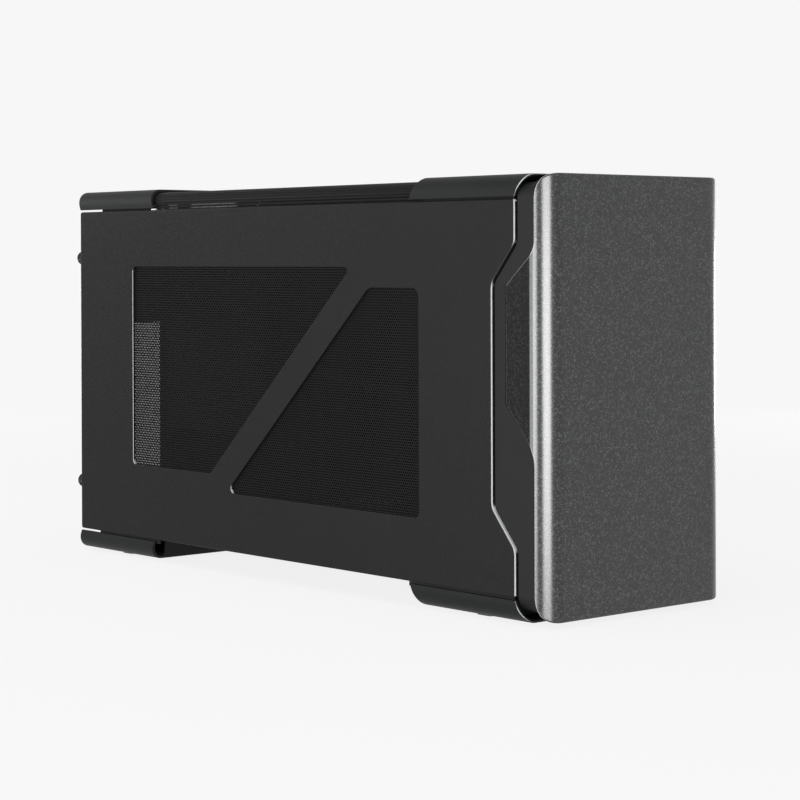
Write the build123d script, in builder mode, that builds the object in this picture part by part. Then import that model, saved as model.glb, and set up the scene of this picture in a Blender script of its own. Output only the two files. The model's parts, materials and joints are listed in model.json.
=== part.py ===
from build123d import *
import os
from math import cos, radians, sin, sqrt, tan

os.makedirs("parts", exist_ok=True)

# External graphics card enclosure, in mm.
# X runs across, Y from the front face to the rear, Z up from the surface that the pads stand on.

# Body
body_width = 127.0
body_length = 406.0
front_height = 214.0
pad_proud = 1.0
foot_drop = 1.8
band_step = 0.2

# Front panel, one folded sheet with an ear on each side flange
front_sheet = 1.3
front_bend = 11.0
front_edge = 0.8
flange_depth = 9.4
flange_corner = 12.5
ear_length = 19.6
ear_lean = 1.9
ear_tip_radius = 3.0
ear_low = 25.8
ear_low_rise = 22.0
ear_low_radius = 20.0
ear_high = 70.0
ear_high_drop = 16.4
ear_high_radius = 10.0

# Front frame, the moulded ring behind the front panel
frame_inset = 3.8
frame_step = 0.8
frame_clear = 0.3
frame_wall = 2.0
frame_radius = 8.0
frame_gap = 1.5
cheek_sheet = 1.2
ear_clear = 0.2
pocket_clear = 0.2
boss_radius = 4.5
boss_side = 16.0
boss_z = 9.0
boss_tip = 3.0
rib = 3.0

# Bands over the top and under the case
band_sheet = 1.5
band_depth = 11.0
band_radius = 9.0
band_length = 77.0
band_lean = 5.0
band_edge = 0.5
post_radius = 4.0
post_side = 33.5
post_inset = 16.0
bracket_sheet = 1.5
bracket_clear = 0.5
bracket_inner_inset = 2.0
bracket_outer_inset = 9.0
pad_width = 26.0
pad_length = 12.0
pad_corner = 3.0
pad_side = 23.5

# Side panels
panel_sheet = 1.2
panel_gap = 1.2
panel_corner = 1.5
hem_depth = 1.9
hem_width = 6.0
hem_round = 0.8
front_depth = 22.0
jog_depth = 16.0
jog_start = 73.5
jog_end = 54.5
jog_radius = 8.0
fold_width = 11.0
fold_trim = 2.0

# Windows in the left panel, with a slanted strut between them
strut_angle = 43.1
strut_width = 17.4
strut_shift = 4.9
rear_window_top = 33.0
rear_window_bottom = 42.4
rear_window_end = 56.0
front_window_top = 43.6
front_window_bottom = 32.6
front_window_end = 69.6
window_radius = 3.0
window_tip_radius = 2.0
front_window_radius = 4.5
strut_radius = 8.0
window_edge = 0.4

# Perforated sheets: a coarse hexagon lattice stands for the fine round holes
mesh_sheet = 0.7
mesh_border = 8.0
mesh_pitch = 14.6
mesh_hole = 11.2
cover_sheet = 0.8
cover_gap = 0.4
cover_pitch = 16.4
cover_hole = 12.4
cover_front_inset = 2.0
cover_rear_inset = 21.0
cover_notch_length = 10.0
cover_notch_height = 4.0
lattice_margin = 1.5

# Chassis
chassis_sheet = 1.0
chassis_clear = 0.3
chassis_flange = 10.0
foot_tab_drop = 3.0
foot_tab_overrun = 2.5
foot_tab_front = 3.0
foot_tab_rear = 17.5
floor_inset = 0.4
roof_inset = 0.8
wall_inset = 1.5
wall_flange = 22.0
flange_clear = 0.3
vent_length = 30.0
vent_width = 5.0
vent_pitch_x = 36.0
vent_pitch_y = 18.0
vent_columns = 3
vent_rows = 12

# Rear panel and its openings
rear_sheet = 1.2
rear_clear = 0.2
bracket_wall_gap = 11.3
bracket_psu_gap = 3.0
bracket_rise = 24.6
bracket_height = 90.5
slot_pitch = 20.32
shelf_depth = 15.0
shelf_height = 14.0
shelf_drop = 2.0
shelf_hole = 1.7
cutout_margin = 5.5
port_clear = 0.3

# Thumbscrews and panel screws
thumb_inset = 6.0
thumb_top_inset = 27.8
thumb_bottom_inset = 28.3
thumb_head = 4.2
thumb_length = 7.0
thumb_slot = 1.0
thumb_slot_depth = 1.2
thumb_chamfer = 0.5
thumb_shank = 1.95
thumb_reach = 10.0
thread_clear = 0.05
fold_hole = 2.3
bush_radius = 3.6
right_screw_inset = 12.0
right_bush_gap = 6.0
bush_length = 4.0
screw_head = 3.2
screw_head_height = 2.2
screw_shank = 1.5
screw_clear = 0.15
screw_reach = 7.0

# Case fan
fan_size = 92.0
fan_depth = 25.0
fan_corner = 4.0
fan_bore = 44.3
fan_spacing = 82.5
fan_tip = 41.5
fan_hub = 18.0
fan_hub_seat = 17.0
fan_seat_depth = 4.0
fan_strut = 4.0
fan_front_gap = 2.0
fan_blades = 7
fan_shaft = 1.5
running_clear = 0.05
seat_gap = 0.3
wall_screw = 2.0
wall_screw_head = 3.5
fan_grille_pitch = 12.0
fan_grille_hole = 9.6

# Fan blades
blade_sheet = 1.4
blade_root_chord = 15.0
blade_tip_chord = 24.0
blade_root_pitch = 52.0
blade_tip_pitch = 32.0
blade_root_sink = 1.5

# Power supply
psu_width = 63.5
psu_height = 125.0
psu_depth = 100.0
psu_clear = 0.3
psu_roof_gap = 6.0
psu_edge = 1.0
psu_screw_inset = 4.0
psu_fan_bore = 43.0
psu_fan_recess = 20.0
psu_fan_tip = 40.0
psu_fan_hub = 17.0
psu_fan_depth = 12.0
psu_fan_blades = 9
psu_boss = 12.0
psu_boss_height = 3.7
guard_sheet = 1.0
guard_ring = 2.0
guard_rings = 4
guard_spoke = 3.0
guard_rim = 2.0
guard_clear = 0.2
psu_shelf_sheet = 1.2
psu_shelf_start = 15.0
psu_shelf_length = 50.0
psu_vent_pitch = 10.0
psu_vent_hole = 7.5
psu_grille_pitch = 6.0
psu_grille_hole = 4.6
psu_grille_depth = 2.0

# Mains inlet and rocker switch on the power supply
inlet_shift = 4.25
inlet_rise = 26.0
inlet_width = 27.0
inlet_height = 20.0
inlet_depth = 17.5
inlet_flange = 2.0
inlet_flange_depth = 2.2
inlet_wall = 1.6
inlet_cavity = 15.0
inlet_chamfer = 4.0
inlet_clear = 0.2
pin_width = 2.0
pin_length = 9.0
pin_pitch = 7.0
pin_offset = 2.0
switch_rise = 52.0
switch_width = 13.0
switch_height = 19.4
switch_depth = 13.0
switch_flange = 1.2
switch_flange_depth = 1.6
switch_wall = 1.2
rocker_width = 9.8
rocker_half = 7.3
rocker_rise = 4.6
rocker_dip = 3.2
rocker_skirt = 1.5
rocker_foot = 3.0
rocker_keel = 4.0
rocker_tilt = 8.0
rocker_pivot = 3.0
rocker_pin = 1.0

# Host board with the card slot
board_sheet = 1.6
board_lift = 6.0
board_side_gap = 6.3
board_length = 288.0
board_rear_gap = 3.4
board_corner = 3.0
board_hole_inset = 5.0
standoff_radius = 3.0
slot_offset = 4.5
slot_rear_gap = 48.4
slot_length = 89.0
slot_width = 7.4
slot_height = 11.2
slot_slit = 1.8
slot_slit_depth = 8.0
slot_end_wall = 2.0
slot_key = 1.8
slot_key_offset = 13.6
latch_arm = 10.0
latch_arm_width = 1.7
latch_clear = 0.3
latch_pin = 1.0
latch_pivot_y = 5.0
latch_pivot_z = 4.5
latch_height = 14.0
latch_hook = 4.0
sink_size = 40.0
sink_side_gap = 30.0
sink_rear_gap = 152.0
sink_base = 3.0
sink_height = 13.0
sink_fin = 1.4
sink_fins = 9
usb_a_width = 13.2
usb_a_height = 5.8
usb_a_depth = 14.0
usb_a_inset = 16.0
usb_a_pitch = 18.0
usb_a_count = 2
usb_wall = 0.5
usb_tongue = 1.9
usb_tongue_margin = 1.0
usb_c_gap = 18.0
usb_c_width = 9.0
usb_c_height = 3.3
usb_c_depth = 8.0
usb_c_tongue = 0.8
socket_side_gap = 34.0
socket_front_gap = 36.0
socket_width = 18.0
socket_depth = 10.0
socket_height = 12.8
socket_wall = 1.0
socket_pocket = 6.0
plug_clear = 0.25
plug_height = 21.0
plug_latch = 1.6
plug_latch_width = 5.0
plug_collar = 1.2

# Lead from the power supply to the board, along points chosen by hand
lead_radius = 3.5
lead_rise = 16.0
lead_run = 25.0
lead_exit_rise = 38.0
lead_exit_inset = 36.0
grommet_radius = 8.0
grommet_length = 3.0
grommet_clear = 0.3
lead_bend_share = 0.45

# Places that follow from the sizes
half_width = body_width / 2
front_y = -body_length / 2
rear_y = body_length / 2
front_bottom = pad_proud + foot_drop
front_top = front_bottom + front_height
mid_z = (front_bottom + front_top) / 2
flange_rear = front_y + flange_depth
ear_rear = flange_rear + ear_length
band_bottom = pad_proud
band_top = front_top + band_step
foot_lip = band_bottom + band_depth
top_lip = band_top - band_depth
panel_bottom = foot_lip + panel_gap
panel_top = top_lip - panel_gap
panel_front = front_y + front_depth
panel_rear = rear_y - band_lean
panel_inner = half_width - panel_sheet
chassis_half = half_width - hem_depth - chassis_clear
flange_half = chassis_half - chassis_sheet
floor_bottom = panel_bottom + floor_inset
floor_top = floor_bottom + chassis_sheet
roof_top = panel_top - roof_inset
roof_bottom = roof_top - chassis_sheet
rear_outer = panel_rear - panel_sheet - rear_clear
rear_inner = rear_outer - rear_sheet
wall_front = panel_front + wall_inset
wall_rear = wall_front + chassis_sheet
thumb_x = half_width - thumb_inset
thumb_heights = (panel_top - thumb_top_inset, panel_bottom + thumb_bottom_inset)
board_bottom = floor_top + board_lift
board_top = board_bottom + board_sheet
board_rear = rear_inner - board_rear_gap
board_front = board_rear - board_length
board_half = flange_half - board_side_gap
psu_right = flange_half - psu_clear
psu_left = psu_right - psu_width
psu_rear = rear_inner
psu_front = psu_rear - psu_depth
psu_top = roof_bottom - psu_roof_gap
psu_bottom = psu_top - psu_height
psu_mid_x = (psu_left + psu_right) / 2
psu_mid_y = (psu_front + psu_rear) / 2
psu_mid_z = (psu_bottom + psu_top) / 2
bracket_left = bracket_wall_gap - flange_half
bracket_right = psu_left - bracket_psu_gap
bracket_width = bracket_right - bracket_left
bracket_mid_x = (bracket_left + bracket_right) / 2
bracket_bottom = board_top + bracket_rise
bracket_top = bracket_bottom + bracket_height
right_heights = (psu_bottom - right_screw_inset, floor_top + chassis_flange + right_bush_gap)
front_lips = (panel_front, panel_front + band_length)
rear_lips = (panel_rear - band_length, panel_rear)


def across(x):
    """Side view at x: local axes Y and Z, so a positive extrusion runs to the right."""
    return Plane.YZ.offset(x)


def facing(y):
    """Front view at y: local axes X and Z, so a positive extrusion runs to the front."""
    return Plane.XZ.offset(-y)


def level(z):
    """Plan view at z: local axes X and Y, so a positive extrusion runs up."""
    return Plane.XY.offset(z)


def hexagon_lattice(outline, pitch, margin, rounding=1e-6):
    """Centres of a hexagon lattice that lie inside a convex outline, clear of its edges."""
    lows = [min(point[i] for point in outline) for i in range(2)]
    highs = [max(point[i] for point in outline) for i in range(2)]
    centres = []
    columns = int((highs[0] - lows[0]) / (pitch * sqrt(3) / 2)) + 2
    rows = int((highs[1] - lows[1]) / pitch) + 2
    for column in range(columns):
        for row in range(rows):
            point = Vector(lows[0] + column * pitch * sqrt(3) / 2, lows[1] + (row + column % 2 / 2) * pitch)
            if all(distance >= margin - rounding for distance in edge_distances(outline, point)):
                centres.append((point.X, point.Y))
    return centres


def edge_distances(outline, point):
    """Distance of a point to each edge of a convex outline, positive on the inner side."""
    centre = sum((Vector(corner) for corner in outline), Vector()) / len(outline)
    distances = []
    for start, end in zip(outline, outline[1:] + outline[:1]):
        along = (Vector(end) - Vector(start)).normalized()
        normal = Vector(-along.Y, along.X)
        inward = 1 if normal.dot(centre - Vector(start)) > 0 else -1
        distances.append(inward * normal.dot(point - Vector(start)))
    return distances


def faces_outwards(face, upright=1e-3):
    """Whether an upright face looks away from the middle of the case."""
    normal = face.normal_at()
    centre = face.center()
    return abs(normal.Z) < upright and normal.X * centre.X + normal.Y * centre.Y > 0


# Front panel: a U in plan, trimmed in the side view to round corners and tapered ears
# A round corner of the flat blank is rolled round the bend, so it is an ellipse in the side view.
ear_outline = [
    (flange_rear, mid_z - ear_low),
    (ear_rear, mid_z - ear_low + ear_low_rise),
    (ear_rear, mid_z + ear_high - ear_high_drop),
    (flange_rear, mid_z + ear_high),
]
ear_radii = [ear_low_radius, ear_tip_radius, ear_tip_radius, ear_high_radius]
corner_low = front_bottom + flange_corner
corner_high = front_top - flange_corner

with BuildSketch(Plane.YZ) as flange_profile:
    with BuildLine():
        FilletPolyline((flange_rear, corner_low), *ear_outline, (flange_rear, corner_high), radius=ear_radii)
        EllipticalCenterArc((front_y, corner_high), flange_depth, flange_corner, start_angle=0, arc_size=90)
        EllipticalCenterArc((front_y, corner_low), flange_depth, flange_corner, start_angle=270, arc_size=90)
        Polyline(
            (front_y, front_top),
            (front_y - flange_corner, front_top),
            (front_y - flange_corner, front_bottom),
            (front_y, front_bottom),
        )
    make_face()

with BuildPart() as front_panel:
    with BuildSketch(level(front_bottom)):
        with BuildLine():
            face = Line((0, front_y), (half_width - front_bend, front_y))
            bend = JernArc(face @ 1, face % 1, front_bend, 90 + ear_lean)
            ear_sink = (ear_rear - (bend @ 1).Y) * tan(radians(ear_lean))
            ear = Line(bend @ 1, ((bend @ 1).X - ear_sink, ear_rear))
            tip = Line(ear @ 1, (half_width - front_sheet, ear_rear))
            inside = Line(tip @ 1, (half_width - front_sheet, front_y + front_bend))
            inner_bend = JernArc(inside @ 1, inside % 1, front_bend - front_sheet, -90)
            Line(inner_bend @ 1, (0, front_y + front_sheet))
            mirror(about=Plane.YZ)
        make_face()
    extrude(amount=front_height)
    with BuildSketch(Plane.YZ):
        add(flange_profile.sketch_local)
    extrude(amount=body_width, both=True, mode=Mode.INTERSECT)
    skin = [face for face in front_panel.faces() if faces_outwards(face)]
    rims = [edge for face in skin for edge in face.edges()]
    fillet([edge for edge in rims if sum(edge.is_same(other) for other in rims) == 1], front_edge)
front_panel.part.label = "front_panel"
export_step(front_panel.part, "parts/front_panel.step")

# Front frame: a ring that the front panel's flanges close over, with cheeks that follow the side panels
frame_half = half_width - frame_step
collar_half = half_width - front_sheet - frame_clear
ring_half = collar_half - frame_wall
frame_bottom = front_bottom + frame_inset
frame_top = front_top - frame_inset
frame_height = frame_top - frame_bottom
collar_front = flange_rear
ring_front = flange_rear + ear_clear
ring_rear = panel_front - frame_gap
boss_front = front_y + front_sheet
boss_x = ring_half - boss_side
boss_heights = (floor_top + boss_z, roof_bottom - boss_z)
boss_places = [(x, z) for x in (-boss_x, boss_x) for z in boss_heights]
cheek_outline = [
    (ring_front, mid_z + jog_start + jog_radius),
    (ring_rear, mid_z + jog_start + jog_radius),
    (ring_rear, mid_z + jog_start),
    (ring_rear + jog_depth, mid_z + jog_end),
    (ring_rear + jog_depth, mid_z - jog_end),
    (ring_rear, mid_z - jog_start),
    (ring_rear, mid_z - jog_start - jog_radius),
    (ring_front, mid_z - jog_start - jog_radius),
]
pocket_depth = frame_half - (half_width - front_sheet) + pocket_clear

with BuildPart() as front_frame:
    with BuildSketch(facing(collar_front)):
        with Locations((0, mid_z)):
            RectangleRounded(2 * collar_half, frame_height, frame_radius)
    extrude(amount=collar_front - ring_rear)
    with BuildSketch(facing(ring_front)):
        with Locations((0, mid_z)):
            RectangleRounded(2 * frame_half, frame_height, frame_radius)
    extrude(amount=ring_front - ring_rear)
    with BuildSketch(facing(collar_front)):
        with Locations((0, mid_z)):
            RectangleRounded(2 * ring_half, frame_height - 2 * frame_wall, frame_radius - frame_wall)
    extrude(amount=collar_front - ring_rear, mode=Mode.SUBTRACT)
    with BuildSketch(facing(collar_front)):
        for x, z in boss_places:
            wall_z = frame_top - frame_wall / 2 if z > mid_z else frame_bottom + frame_wall / 2
            with Locations((x, (z + wall_z) / 2)):
                Rectangle(rib, abs(wall_z - z))
    extrude(amount=collar_front - ring_rear)
    with BuildSketch(facing(boss_front)):
        with Locations(*boss_places):
            Circle(boss_radius)
    extrude(amount=boss_front - wall_front)
    for side in (-1, 1):
        with BuildSketch(across(side * frame_half)):
            with BuildLine():
                FilletPolyline(*cheek_outline, radius=[0, 0, *[jog_radius] * 4, 0, 0], close=True)
            make_face()
        extrude(amount=-side * cheek_sheet)
        with BuildSketch(across(side * frame_half)):
            add(flange_profile.sketch_local)
            offset(amount=ear_clear)
        extrude(amount=-side * pocket_depth, mode=Mode.SUBTRACT)
    with BuildSketch(facing(wall_front)):
        with Locations(*boss_places):
            Circle(wall_screw + screw_clear)
    extrude(amount=wall_front - boss_front - boss_tip, mode=Mode.SUBTRACT)
front_frame.part.label = "front_frame"
export_step(front_frame.part, "parts/front_frame.step")

# Side panels: hemmed steel sheets with a jogged front edge and a fold across the rear
panel_outline = [
    (panel_front, panel_top),
    (panel_front, mid_z + jog_start),
    (panel_front + jog_depth, mid_z + jog_end),
    (panel_front + jog_depth, mid_z - jog_end),
    (panel_front, mid_z - jog_start),
    (panel_front, panel_bottom),
    (panel_rear, panel_bottom),
    (panel_rear, panel_top),
]
panel_radii = [panel_corner, *[jog_radius] * 4, panel_corner, panel_corner, panel_corner]


def build_side_panel(side, fold_top, heights, hole_radius):
    """A whole panel: side is -1 on the left and 1 on the right, and the screw holes are in its fold."""
    fold_bottom = panel_bottom + fold_trim
    with BuildPart() as panel:
        with BuildSketch(across(side * half_width)):
            with BuildLine():
                FilletPolyline(*panel_outline, radius=panel_radii, close=True)
            make_face()
        extrude(amount=-side * hem_depth)
        fillet(panel.faces().sort_by(Axis.X)[0 if side < 0 else -1].edges(), hem_round)
        with BuildSketch(across(side * panel_inner)):
            with BuildLine():
                FilletPolyline(*panel_outline, radius=panel_radii, close=True)
            make_face()
            offset(amount=-hem_width)
        extrude(amount=-side * (hem_depth - panel_sheet), mode=Mode.SUBTRACT)
        fold_x = side * (half_width - (fold_width + hem_round) / 2)
        with BuildSketch(facing(panel_rear)):
            with Locations((fold_x, (fold_bottom + fold_top) / 2)):
                Rectangle(fold_width - hem_round, fold_top - fold_bottom)
        extrude(amount=panel_sheet)
        with BuildSketch(facing(panel_rear)):
            with Locations(*[(side * thumb_x, z) for z in heights]):
                Circle(hole_radius)
        extrude(amount=panel_sheet, mode=Mode.SUBTRACT)
    return panel


def strut_edge(z, side):
    """Y of the strut's edge at a height: side is -1 on the front window and 1 on the rear window."""
    middle = -strut_shift - (z - mid_z) / tan(radians(strut_angle))
    return middle + side * strut_width / 2 / sin(radians(strut_angle))


rear_top = panel_top - rear_window_top
rear_bottom = panel_bottom + rear_window_bottom
rear_end = panel_rear - rear_window_end
rear_window = [
    (rear_end, rear_bottom),
    (rear_end, rear_top),
    (strut_edge(rear_top, 1), rear_top),
    (strut_edge(rear_bottom, 1), rear_bottom),
]
front_window_high = panel_top - front_window_top
front_window_low = panel_bottom + front_window_bottom
front_end = panel_front + front_window_end
front_window = [
    (front_end, front_window_low),
    (strut_edge(front_window_low, -1), front_window_low),
    (strut_edge(front_window_high, -1), front_window_high),
    (front_end, front_window_high),
]
rear_window_radii = [window_radius, window_radius, window_tip_radius, window_tip_radius]
front_window_radii = [window_radius, window_radius, strut_radius, front_window_radius]

panel_shell = build_side_panel(-1, panel_top - fold_trim, thumb_heights, fold_hole)
with BuildPart() as side_panel_left:
    add(panel_shell.part)
    with BuildSketch(across(-half_width)):
        for window, radii in ((rear_window, rear_window_radii), (front_window, front_window_radii)):
            with BuildLine():
                FilletPolyline(*window, radius=radii, close=True)
            make_face()
    extrude(amount=panel_sheet, mode=Mode.SUBTRACT)
    punched = side_panel_left.faces().sort_by(Axis.X)[0].inner_wires()
    fillet([edge for wire in punched for edge in wire.edges()], window_edge)
side_panel_left.part.label = "side_panel_left"
export_step(side_panel_left.part, "parts/side_panel_left.step")

with BuildPart() as side_mesh_left:
    with BuildSketch(across(-panel_inner)):
        with Locations(((front_end + rear_end) / 2, (front_window_low + rear_top) / 2)):
            Rectangle(rear_end - front_end + 2 * mesh_border, rear_top - front_window_low + 2 * mesh_border)
        for window in (rear_window, front_window):
            with Locations(*hexagon_lattice(window, mesh_pitch, mesh_hole / 2 + lattice_margin)):
                RegularPolygon(mesh_hole / 2, 6, major_radius=False, mode=Mode.SUBTRACT)
    extrude(amount=mesh_sheet)
side_mesh_left.part.label = "side_mesh_left"
export_step(side_mesh_left.part, "parts/side_mesh_left.step")

psu_vent_outline = [
    (psu_mid_y + psu_fan_tip * cos(radians(angle)), psu_mid_z + psu_fan_tip * sin(radians(angle)))
    for angle in range(0, 360, 45)
]
right_shell = build_side_panel(1, psu_bottom - fold_trim, right_heights, screw_shank + screw_clear)
with BuildPart() as side_panel_right:
    add(right_shell.part)
    with BuildSketch(across(half_width)):
        with Locations(*hexagon_lattice(psu_vent_outline, psu_vent_pitch, psu_vent_hole / 2)):
            RegularPolygon(psu_vent_hole / 2, 6, major_radius=False)
    extrude(amount=-panel_sheet, mode=Mode.SUBTRACT)
side_panel_right.part.label = "side_panel_right"
export_step(side_panel_right.part, "parts/side_panel_right.step")


# Bands: folded steel, open at both ends, leaning outwards away from the case
def build_band(lips, lean, outer_z, lip_z):
    """One band, from its lips on both sides over its outer face, with both ends cut parallel and eased."""
    with BuildPart() as band:
        with BuildSketch(Plane.YZ):
            with BuildLine():
                Polyline(
                    (lips[0], lip_z),
                    (lips[1], lip_z),
                    (lips[1] + lean, outer_z),
                    (lips[0] + lean, outer_z),
                    close=True,
                )
            make_face()
        extrude(amount=half_width, both=True)
        with BuildSketch(Plane.XZ):
            with Locations((0, lip_z)):
                RectangleRounded(body_width, 2 * band_depth, band_radius)
        extrude(amount=body_length, both=True, mode=Mode.INTERSECT)
        for end in (band.faces().sort_by(Axis.Y)[0], band.faces().sort_by(Axis.Y)[-1]):
            fillet([edge for edge in end.edges() if edge.center().Z != lip_z], band_edge)
        with BuildSketch(Plane.XZ):
            with Locations((0, lip_z)):
                RectangleRounded(
                    body_width - 2 * band_sheet,
                    2 * (band_depth - band_sheet),
                    band_radius - band_sheet,
                )
        extrude(amount=body_length, both=True, mode=Mode.SUBTRACT)
    return band


front_top_band = build_band(front_lips, -band_lean, band_top, top_lip)
front_top_band.part.label = "front_top_band"
export_step(front_top_band.part, "parts/front_top_band.step")

rear_top_band = build_band(rear_lips, band_lean, band_top, top_lip)
rear_top_band.part.label = "rear_top_band"
export_step(rear_top_band.part, "parts/rear_top_band.step")

front_foot_band = build_band(front_lips, -band_lean, band_bottom, foot_lip)
front_foot_band.part.label = "front_foot_band"
export_step(front_foot_band.part, "parts/front_foot_band.step")

rear_foot_band = build_band(rear_lips, band_lean, band_bottom, foot_lip)
rear_foot_band.part.label = "rear_foot_band"
export_step(rear_foot_band.part, "parts/rear_foot_band.step")


# Channels that carry the case on the foot bands
def build_foot_bracket(start, end):
    """A folded channel between the inside of a foot band and the underside of the floor."""
    base = band_bottom + band_sheet
    height = floor_bottom - base
    middle = (start + end) / 2
    with BuildPart() as bracket:
        with BuildSketch(Plane.YZ):
            with Locations((middle, base + height / 2)):
                Rectangle(end - start, height)
            with Locations((middle, base + height / 2 + bracket_sheet / 2)):
                Rectangle(end - start - 2 * bracket_sheet, height - bracket_sheet, mode=Mode.SUBTRACT)
        extrude(amount=half_width - band_radius - bracket_clear, both=True)
    return bracket


front_foot_bracket = build_foot_bracket(
    front_lips[0] + bracket_outer_inset, front_lips[1] - bracket_inner_inset
)
front_foot_bracket.part.label = "front_foot_bracket"
export_step(front_foot_bracket.part, "parts/front_foot_bracket.step")

rear_foot_bracket = build_foot_bracket(
    rear_lips[0] + bracket_inner_inset, rear_lips[1] - bracket_outer_inset
)
rear_foot_bracket.part.label = "rear_foot_bracket"
export_step(rear_foot_bracket.part, "parts/rear_foot_bracket.step")

# Rubber pads under the foot bands
pad_x = half_width - pad_side
pad_rows = (sum(front_lips) / 2 - band_lean, sum(rear_lips) / 2 + band_lean)
with BuildPart() as foot_pads:
    with BuildSketch(Plane.XY):
        with Locations(*[(x, y) for x in (-pad_x, pad_x) for y in pad_rows]):
            RectangleRounded(pad_width, pad_length, pad_corner)
    extrude(amount=pad_proud)
foot_pads.part.label = "foot_pads"
export_step(foot_pads.part, "parts/foot_pads.step")

# Posts that carry the top bands on the roof, through the perforated cover
post_x = half_width - post_side
post_rows = [lips[0] + post_inset for lips in (front_lips, rear_lips)]
post_rows += [lips[1] - band_length / 2 for lips in (front_lips, rear_lips)]
post_places = [(x, y) for x in (-post_x, post_x) for y in post_rows]
with BuildPart() as band_posts:
    with BuildSketch(level(roof_top)):
        with Locations(*post_places):
            Circle(post_radius)
    extrude(amount=band_top - band_sheet - roof_top)
band_posts.part.label = "band_posts"
export_step(band_posts.part, "parts/band_posts.step")

# Perforated cover over the roof, rounded like the bands and just inside them
cover_top = band_top - band_sheet - cover_gap
cover_front = panel_front + cover_front_inset
cover_rear = panel_rear - cover_rear_inset
cover_radius = band_radius - band_sheet - cover_gap
cover_depth = cover_top - roof_top
cover_field = [
    (-chassis_half + cover_radius, front_lips[1] - band_lean),
    (chassis_half - cover_radius, front_lips[1] - band_lean),
    (chassis_half - cover_radius, rear_lips[0] + band_lean),
    (-chassis_half + cover_radius, rear_lips[0] + band_lean),
]
with BuildPart() as top_mesh:
    with BuildSketch(facing(cover_front)):
        with Locations((0, roof_top)):
            RectangleRounded(2 * chassis_half, 2 * cover_depth, cover_radius)
            RectangleRounded(
                2 * (chassis_half - cover_sheet),
                2 * (cover_depth - cover_sheet),
                cover_radius - cover_sheet,
                mode=Mode.SUBTRACT,
            )
        with Locations((0, roof_top)):
            Rectangle(
                body_width, 2 * cover_depth, align=(Align.CENTER, Align.MAX), mode=Mode.SUBTRACT
            )
    extrude(amount=cover_front - cover_rear)
    with BuildSketch(level(cover_top - cover_depth / 2)):
        with Locations(*hexagon_lattice(cover_field, cover_pitch, cover_hole / 2)):
            RegularPolygon(cover_hole / 2, 6, major_radius=False)
        with Locations(*post_places):
            Circle(post_radius + seat_gap)
    extrude(amount=cover_depth, mode=Mode.SUBTRACT)
    with BuildSketch(Plane.YZ):
        with Locations((rear_lips[0], roof_top)):
            Rectangle(cover_notch_length, cover_notch_height, align=(Align.MAX, Align.MIN))
    extrude(amount=half_width, both=True, mode=Mode.SUBTRACT)
top_mesh.part.label = "top_mesh"
export_step(top_mesh.part, "parts/top_mesh.step")


# Floor and roof of the chassis: flat sheets with vent slots and a flange along each side.
# Tabs under the floor reach into the foot bands.
def build_tray(outer_z, inner_z):
    """A tray whose plate lies between the two heights and whose flanges run on past the inner one."""
    turn = 1 if inner_z > outer_z else -1
    with BuildPart() as tray:
        with BuildSketch(facing(wall_front)):
            with Locations((0, (outer_z + inner_z + turn * chassis_flange) / 2)):
                Rectangle(2 * chassis_half, chassis_sheet + chassis_flange)
            with Locations((0, inner_z + turn * chassis_flange / 2)):
                Rectangle(2 * flange_half, chassis_flange, mode=Mode.SUBTRACT)
        extrude(amount=wall_front - rear_inner)
        with BuildSketch(level(min(outer_z, inner_z))):
            with Locations((0, (wall_rear + rear_inner) / 2)):
                with GridLocations(vent_pitch_x, vent_pitch_y, vent_columns, vent_rows):
                    Rectangle(vent_length, vent_width)
            if turn < 0:
                with Locations(*post_places):
                    Circle(screw_shank + screw_clear)
        extrude(amount=chassis_sheet, mode=Mode.SUBTRACT)
    return tray


floor_plate = build_tray(floor_bottom, floor_top)
tab_spans = [
    (front_lips[0] + foot_tab_front, front_lips[1] + foot_tab_overrun),
    (rear_lips[0] - foot_tab_overrun, rear_lips[1] - foot_tab_rear),
]
with BuildPart() as chassis_floor:
    add(floor_plate.part)
    with BuildSketch(level(floor_bottom)):
        for start, end in tab_spans:
            for side in (-1, 1):
                with Locations((side * (chassis_half - chassis_sheet / 2), (start + end) / 2)):
                    Rectangle(chassis_sheet, end - start)
    extrude(amount=-foot_tab_drop)
chassis_floor.part.label = "chassis_floor"
export_step(chassis_floor.part, "parts/chassis_floor.step")

chassis_roof = build_tray(roof_top, roof_bottom)
chassis_roof.part.label = "chassis_roof"
export_step(chassis_roof.part, "parts/chassis_roof.step")

# Front wall of the chassis: carries the fan, with a flange at each side behind the panel's jog
fan_z = mid_z
fan_offsets = (-fan_spacing / 2, fan_spacing / 2)
fan_places = [(x, fan_z + z) for x in fan_offsets for z in fan_offsets]
wall_flange_low = floor_top + chassis_flange + flange_clear
wall_flange_high = roof_bottom - chassis_flange - flange_clear
fan_outline = [
    (fan_bore * cos(radians(angle)), fan_z + fan_bore * sin(radians(angle))) for angle in range(0, 360, 30)
]
with BuildPart() as chassis_front_wall:
    with BuildSketch(facing(wall_front)):
        with Locations((0, (floor_top + roof_bottom) / 2)):
            Rectangle(2 * flange_half, roof_bottom - floor_top)
    extrude(amount=-chassis_sheet)
    with BuildSketch(level(wall_flange_low)):
        for side in (-1, 1):
            with Locations((side * (flange_half + chassis_sheet / 2), wall_front + wall_flange / 2)):
                Rectangle(chassis_sheet, wall_flange)
    extrude(amount=wall_flange_high - wall_flange_low)
    with BuildSketch(facing(wall_front)):
        with Locations(*hexagon_lattice(fan_outline, fan_grille_pitch, fan_grille_hole / 2)):
            RegularPolygon(fan_grille_hole / 2, 6, major_radius=False)
        with Locations(*fan_places, *boss_places):
            Circle(wall_screw + screw_clear)
    extrude(amount=-chassis_sheet, mode=Mode.SUBTRACT)
chassis_front_wall.part.label = "chassis_front_wall"
export_step(chassis_front_wall.part, "parts/chassis_front_wall.step")


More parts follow.
